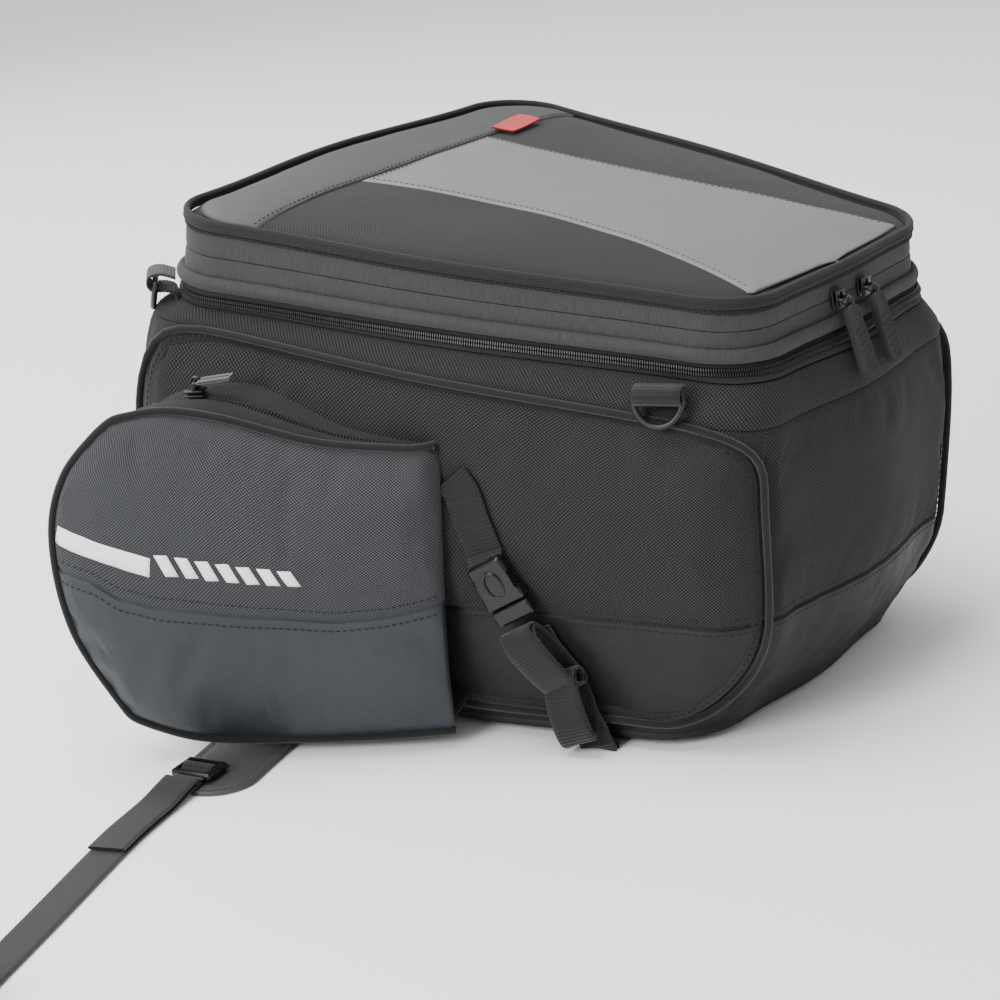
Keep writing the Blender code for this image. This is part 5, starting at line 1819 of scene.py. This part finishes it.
def make_slack(side, points, normals):
    """The strap's spare end, rolled flat twice over and lying on the strap."""
    rolls, total = [], 0.0
    for k, (centre, long, thick, turn) in enumerate(((7, 42.0, 13.0, 5.0), (20, 38.0, 14.0, -10.0))):
        ahead = (points[centre + 3] - points[centre - 3]).normalized()
        out = normals[centre]
        across = out.cross(ahead).normalized()
        ahead = Matrix.Rotation(math.radians(turn), 3, out) @ ahead
        middle = points[centre] + out * (thick / 2 + 1.2)
        path, outs = [], []
        for j in range(121):
            angle = 2 * math.pi * 2.4 * j / 120 + 0.4
            shrink = 1 - 0.26 * j / 120
            x, z = math.cos(angle), math.sin(angle)
            along = math.copysign(abs(x) ** 0.9, x) * long / 2 * (1 - 0.08 * j / 120)
            sway = 0.5 * math.sin(angle * 2.3 + k)
            height = math.copysign(abs(z) ** 0.9, z) * thick / 2 * shrink + sway * 0.4
            path.append(middle + ahead * along + out * height + across * sway)
        for j in range(121):
            facing = heading(path, j).normalized().cross(across)
            outs.append(facing if facing.dot(path[j] - middle) > 0 else -facing)
        for point in path:
            point.z = max(point.z, 3.5)
        roll, flat = webbing_strip(f"rear_strap_roll_{side}_{k}", path, outs, WEBBING_WIDTH, 1.2)
        rolls.append(roll)
        total += flat[1]
    slack = joined(f"rear_strap_slack_{side}", rolls)
    points[-2] * MM
    points[0] * MM
    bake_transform(slack)


def cut(obj, cutters):
    for k, cutter in enumerate(cutters):
        boolean = obj.modifiers.new(f"cut_{k}", "BOOLEAN")
        boolean.object = cutter
        boolean.solver = "EXACT"
    apply_modifiers(obj)
    for cutter in cutters:
        bpy.data.objects.remove(cutter)
    obj.data.set_sharp_from_angle(angle=math.radians(35))
    return obj


def make_buckle(side, place):
    """A side-release buckle: the socket above, and the plug with its two spring arms below."""
    width, thick, length = SOCKET_SIZE

    def at(x, y, z):
        return shifted(place, x, y, z)

    def mouth(x, y, z):
        low = z < 0
        return x * (1.0 if low else 0.86), y * (1.0 if low else 0.78), z

    socket = soft_block(f"socket_{side}", SOCKET_SIZE, at(0, 0, -length / 2), "buckle", 2.2, 4, mouth)
    tongue_width, tongue_thick, tongue_length = PLUG_TONGUE
    cavity = tongue_width + 1.4, tongue_thick + 1.0
    cutters = [soft_block("cavity", (*cavity, length), at(0, 0, -length / 2 - 4.5), "buckle", 0.5, 1)]
    for x in (-width / 2 - 0.2, width / 2 + 0.2):
        cutters.append(soft_block("window", (4.6, 12.0, 11.0), at(x, 0, -13.5), "buckle", 1.6, 3))
    cut(socket, cutters)
    parts = [socket]
    for face in (-1, 1):
        spots = ((4.6 * math.cos(a), -12.5 + 7.0 * math.sin(a)) for a in round_angles(32))
        ring = [at(x, face * (thick / 2 - 0.35), z).translation for x, z in spots]
        parts.append(rod(f"oval_{side}", ring, 0.7, "buckle", closed=True, sides=8))
    lip = at(0, 0, -length + 1.6)
    parts.append(soft_block(f"lip_{side}", (23.4, 8.4, 2.2), lip, "buckle", 0.9, 3))
    cut(parts[-1], [soft_block("lip_cavity", (*cavity, 6.0), lip, "buckle", 0.3, 1)])
    socket = joined(f"buckle_socket_{side}_body", parts)
    put(socket, "bag_body", "buckle_plastic", f"buckle_socket_{side}")
    _, foot_thick, foot_length = PLUG_FOOT
    foot_top = -length - 0.5
    foot = soft_block(f"foot_{side}", PLUG_FOOT, at(0, 0, foot_top - foot_length / 2), "buckle", 1.8, 4)
    slot_place = at(0, -1.6, foot_top - foot_length + 2.0)
    slot = soft_block("foot_slot", (18.5, 3.4, 6.0), slot_place, "buckle", 0.5, 2)
    cut(foot, [slot])
    parts = [foot]
    for arm in (-1, 1):
        spots = [(5.6, 0.5), (7.4, 4.0), (8.3, 8.0), (8.1, 12.0), (6.6, 15.5), (4.6, 17.2)]
        line = smooth_route([at(arm * x, 0, foot_top + z).translation for x, z in spots], 22)
        parts.append(rod(f"arm_{side}", line, 1.5, "buckle", sides=10, squash=1.15))
        grip = at(arm * 8.7, 0, -length + 12.0)
        parts.append(soft_block(f"grip_{side}", (1.6, 4.0, 7.5), grip, "buckle", 0.6, 3))
    guide = at(0, 0, foot_top + (tongue_length - 2) / 2)
    parts.append(soft_block(f"guide_{side}", (3.0, 3.0, tongue_length - 1), guide, "buckle", 0.7, 2))
    for k in range(3):
        spot = at(0, -foot_thick / 2 + 0.2, -length - 2.2 - 1.9 * k)
        parts.append(soft_block(f"ridge_{side}", (14.0, 0.9, 0.8), spot, "buckle", 0.3, 2))
    plug = joined(f"buckle_plug_{side}_body", parts)
    put(plug, f"buckle_plug_{side}", "buckle_plastic", f"buckle_plug_{side}")


# ---------------------------------------------------------------- front tabs, adjusters and base

TAB_WIDTH = 46.0
TAB_START = Vector((-156.0, 110.0, 0.0))
TAB_END = Vector((-262.0, 84.0, 0.0))
MAT_THICK = 4.0


def rings_in(name, outline, levels, finish):
    """A flat cushion-like piece: the outline drawn in towards its middle in rings, each at its height."""
    middle = sum(outline, Vector()) / len(outline)
    bm = bmesh.new()
    bm.loops.layers.uv.new("UVMap")
    loops = []
    for inset, height in levels:
        ring = []
        for k, point in enumerate(outline):
            along = (outline[(k + 1) % len(outline)] - outline[k - 1]).normalized()
            inward = Vector((-along.y, along.x, 0))
            if inward.dot(middle - point) < 0:
                inward = -inward
            ring.append(bm.verts.new(point + inward * inset + UP * height))
        loops.append(ring)
    return skinned(name, bm, [loops], finish)


def make_front_tab(side, sign):
    """The coated tab that the front strap's adjuster is sewn to, with a stitched edge."""
    mirror = Matrix.Diagonal((-sign, 1, 1))
    axis = TAB_END - TAB_START
    ahead = axis.normalized()
    across = Vector((-ahead.y, ahead.x, 0))
    half = TAB_WIDTH / 2
    centre = TAB_END - ahead * half

    def outline(inset):
        r = half - inset
        length = (centre - TAB_START).dot(ahead)
        sides = [TAB_START + ahead * (2 + length * k / 14) for k in range(14)]
        spots = [p - across * r for p in sides]
        turns = (math.pi * (k / 24 - 0.5) for k in range(25))
        spots += [centre + (ahead * math.cos(a) + across * math.sin(a)) * r for a in turns]
        return [mirror @ p for p in spots + [p + across * r for p in sides[::-1]]]

    levels = ((0.6, 0.35), (0.0, 0.8), (0.0, 2.0), (0.5, 2.6))
    levels += ((1.6, 2.75), (3.2, 2.3), (4.6, 2.7), (9.0, 2.9))
    tab = rings_in(f"front_tab_{side}_cover", outline(0.0), levels, "coated_strip")
    put(tab, "bag_body", "coated_fabric", f"front_tab_{side}")
    path = [p + UP * 2.45 for p in outline(3.2)]
    stitches(f"front_tab_stitches_{side}", path, [UP] * len(path), "bag_body", "pale_thread")
    make_adjuster(side, mirror)


def make_adjuster(side, mirror):
    """A ladder-lock: a frame with a bar across it that the strap runs round."""
    at = mirror @ ADJUSTER_AT
    ahead = (Vector(STRAP_ROUTES[side][2]) - at).xy.normalized().to_3d()
    place = basis(at + UP * 6.4, Vector((-ahead.y, ahead.x, 0)), UP)
    width, length, thick = 24.0, 18.0, 4.0
    frame = soft_block(f"lock_{side}", (width, length, thick), place, "buckle", 1.6, 4)
    gap = (18.6, 4.4, 12.0)
    cut(frame, [soft_block("gap", gap, shifted(place, 0, y, 0), "buckle", 0.8, 2) for y in (-4.4, 3.4)])
    parts = [frame]
    for k in range(5):
        spot = shifted(place, -7.2 + 3.6 * k, -0.5, thick / 2 - 0.1)
        parts.append(soft_block(f"lock_rib_{side}", (1.2, 3.6, 0.9), spot, "buckle", 0.35, 2))
    lock = joined(f"front_adjuster_{side}_frame", parts)
    put(lock, "bag_body", "black_plastic", f"front_adjuster_{side}")
    run = ((-14, -3.2), (-9, -2.4), (-4.4, -0.6), (-0.5, 2.2), (3.4, -0.4), (8, -1.0), (12, -0.9))
    loop = smooth_route([place.translation + ahead * d + UP * z for d, z in run], 40)
    name = f"front_strap_{side}_through"
    strip, flat = webbing_strip(name, loop, [UP] * 40, 18.0, 1.2, "webbing_long", ribs=False)
    put(strip, "bag_body", "webbing")


def make_base():
    """The coated underside, its seam to the side walls, and the patterned mat below it."""
    count = 140
    outline = []
    for k in range(count):
        point = skin(k / count, 0.0)
        level = Vector((point.x, point.y, 0))
        outline.append(level - level.normalized())
    # Its border turns up inside the walls, round the stiff board
    levels = ((1.2, 4.3), (0.2, 4.8), (0.0, 6.0), (0.2, 9.0), (1.4, 10.4), (4.4, 10.2), (6.4, 7.5))
    base = rings_in("base_cover", outline, levels, "coated_skirt")
    put(base, "bag_body", "coated_fabric", "base_panel")
    middle = Matrix.Translation((0, 8, MAT_THICK / 2 + 0.6))
    parts = [soft_block("mat", (168.0, 200.0, MAT_THICK - 1.2), middle, "rubber", 1.2, 3)]
    turned = Matrix.Rotation(math.pi / 4, 4, "Z")
    for i in range(15):
        for j in range(18):
            spot = Matrix.Translation((-77 + 11 * i, -85.5 + 11 * j, 0.9)) @ turned
            parts.append(soft_block("stud", (5.4, 5.4, 1.8), spot, "rubber", 0.6, 2))
    put(joined("anti_slip_mat_pad", parts), "bag_body", "rubber", "anti_slip_mat")


make_camera()
make_studio()
make_materials()
for side in SIDES:
    make_front_strap(side)
SEAM, LAP = 0.002, 0.0004
make_shell("front_shell", (-FRONT_SEAM - LAP, FRONT_SEAM + LAP), 60, "front_panel")
make_shell("rear_shell", (REAR_SEAM - LAP, 1 - REAR_SEAM + LAP), 48, "rear_panel")
for side, sign in SIDES.items():
    u_range = (FRONT_SEAM + SEAM, REAR_SEAM - SEAM)
    if sign == RIGHT:
        u_range = (1 - u_range[1], 1 - u_range[0])
    wide_range = u_range[0] - SEAM - LAP, u_range[1] + SEAM + LAP
    make_shell(f"side_shell_{side}", wide_range, 90, f"side_panel_{side}")
    make_side_piping(side, u_range)
make_expansion()
make_bands()
make_hinge_tape()
make_lid()
make_sliders()
make_base()
for side, sign in SIDES.items():
    make_pocket_shell(side, sign)
    make_pocket_gusset(side, sign)
    make_pocket_piping(side, sign)
    make_pocket_marks(side, sign)
    for end in RINGS:
        make_ring(end, side, sign)
    make_rear_strap(side, sign)
    make_front_tab(side, sign)
board = frame["nodes"]["base_board"], frame["nodes"]["lid_board"]
for node in board:
    node.data.materials.clear()
    node.data.materials.append(bpy.data.materials["board"])
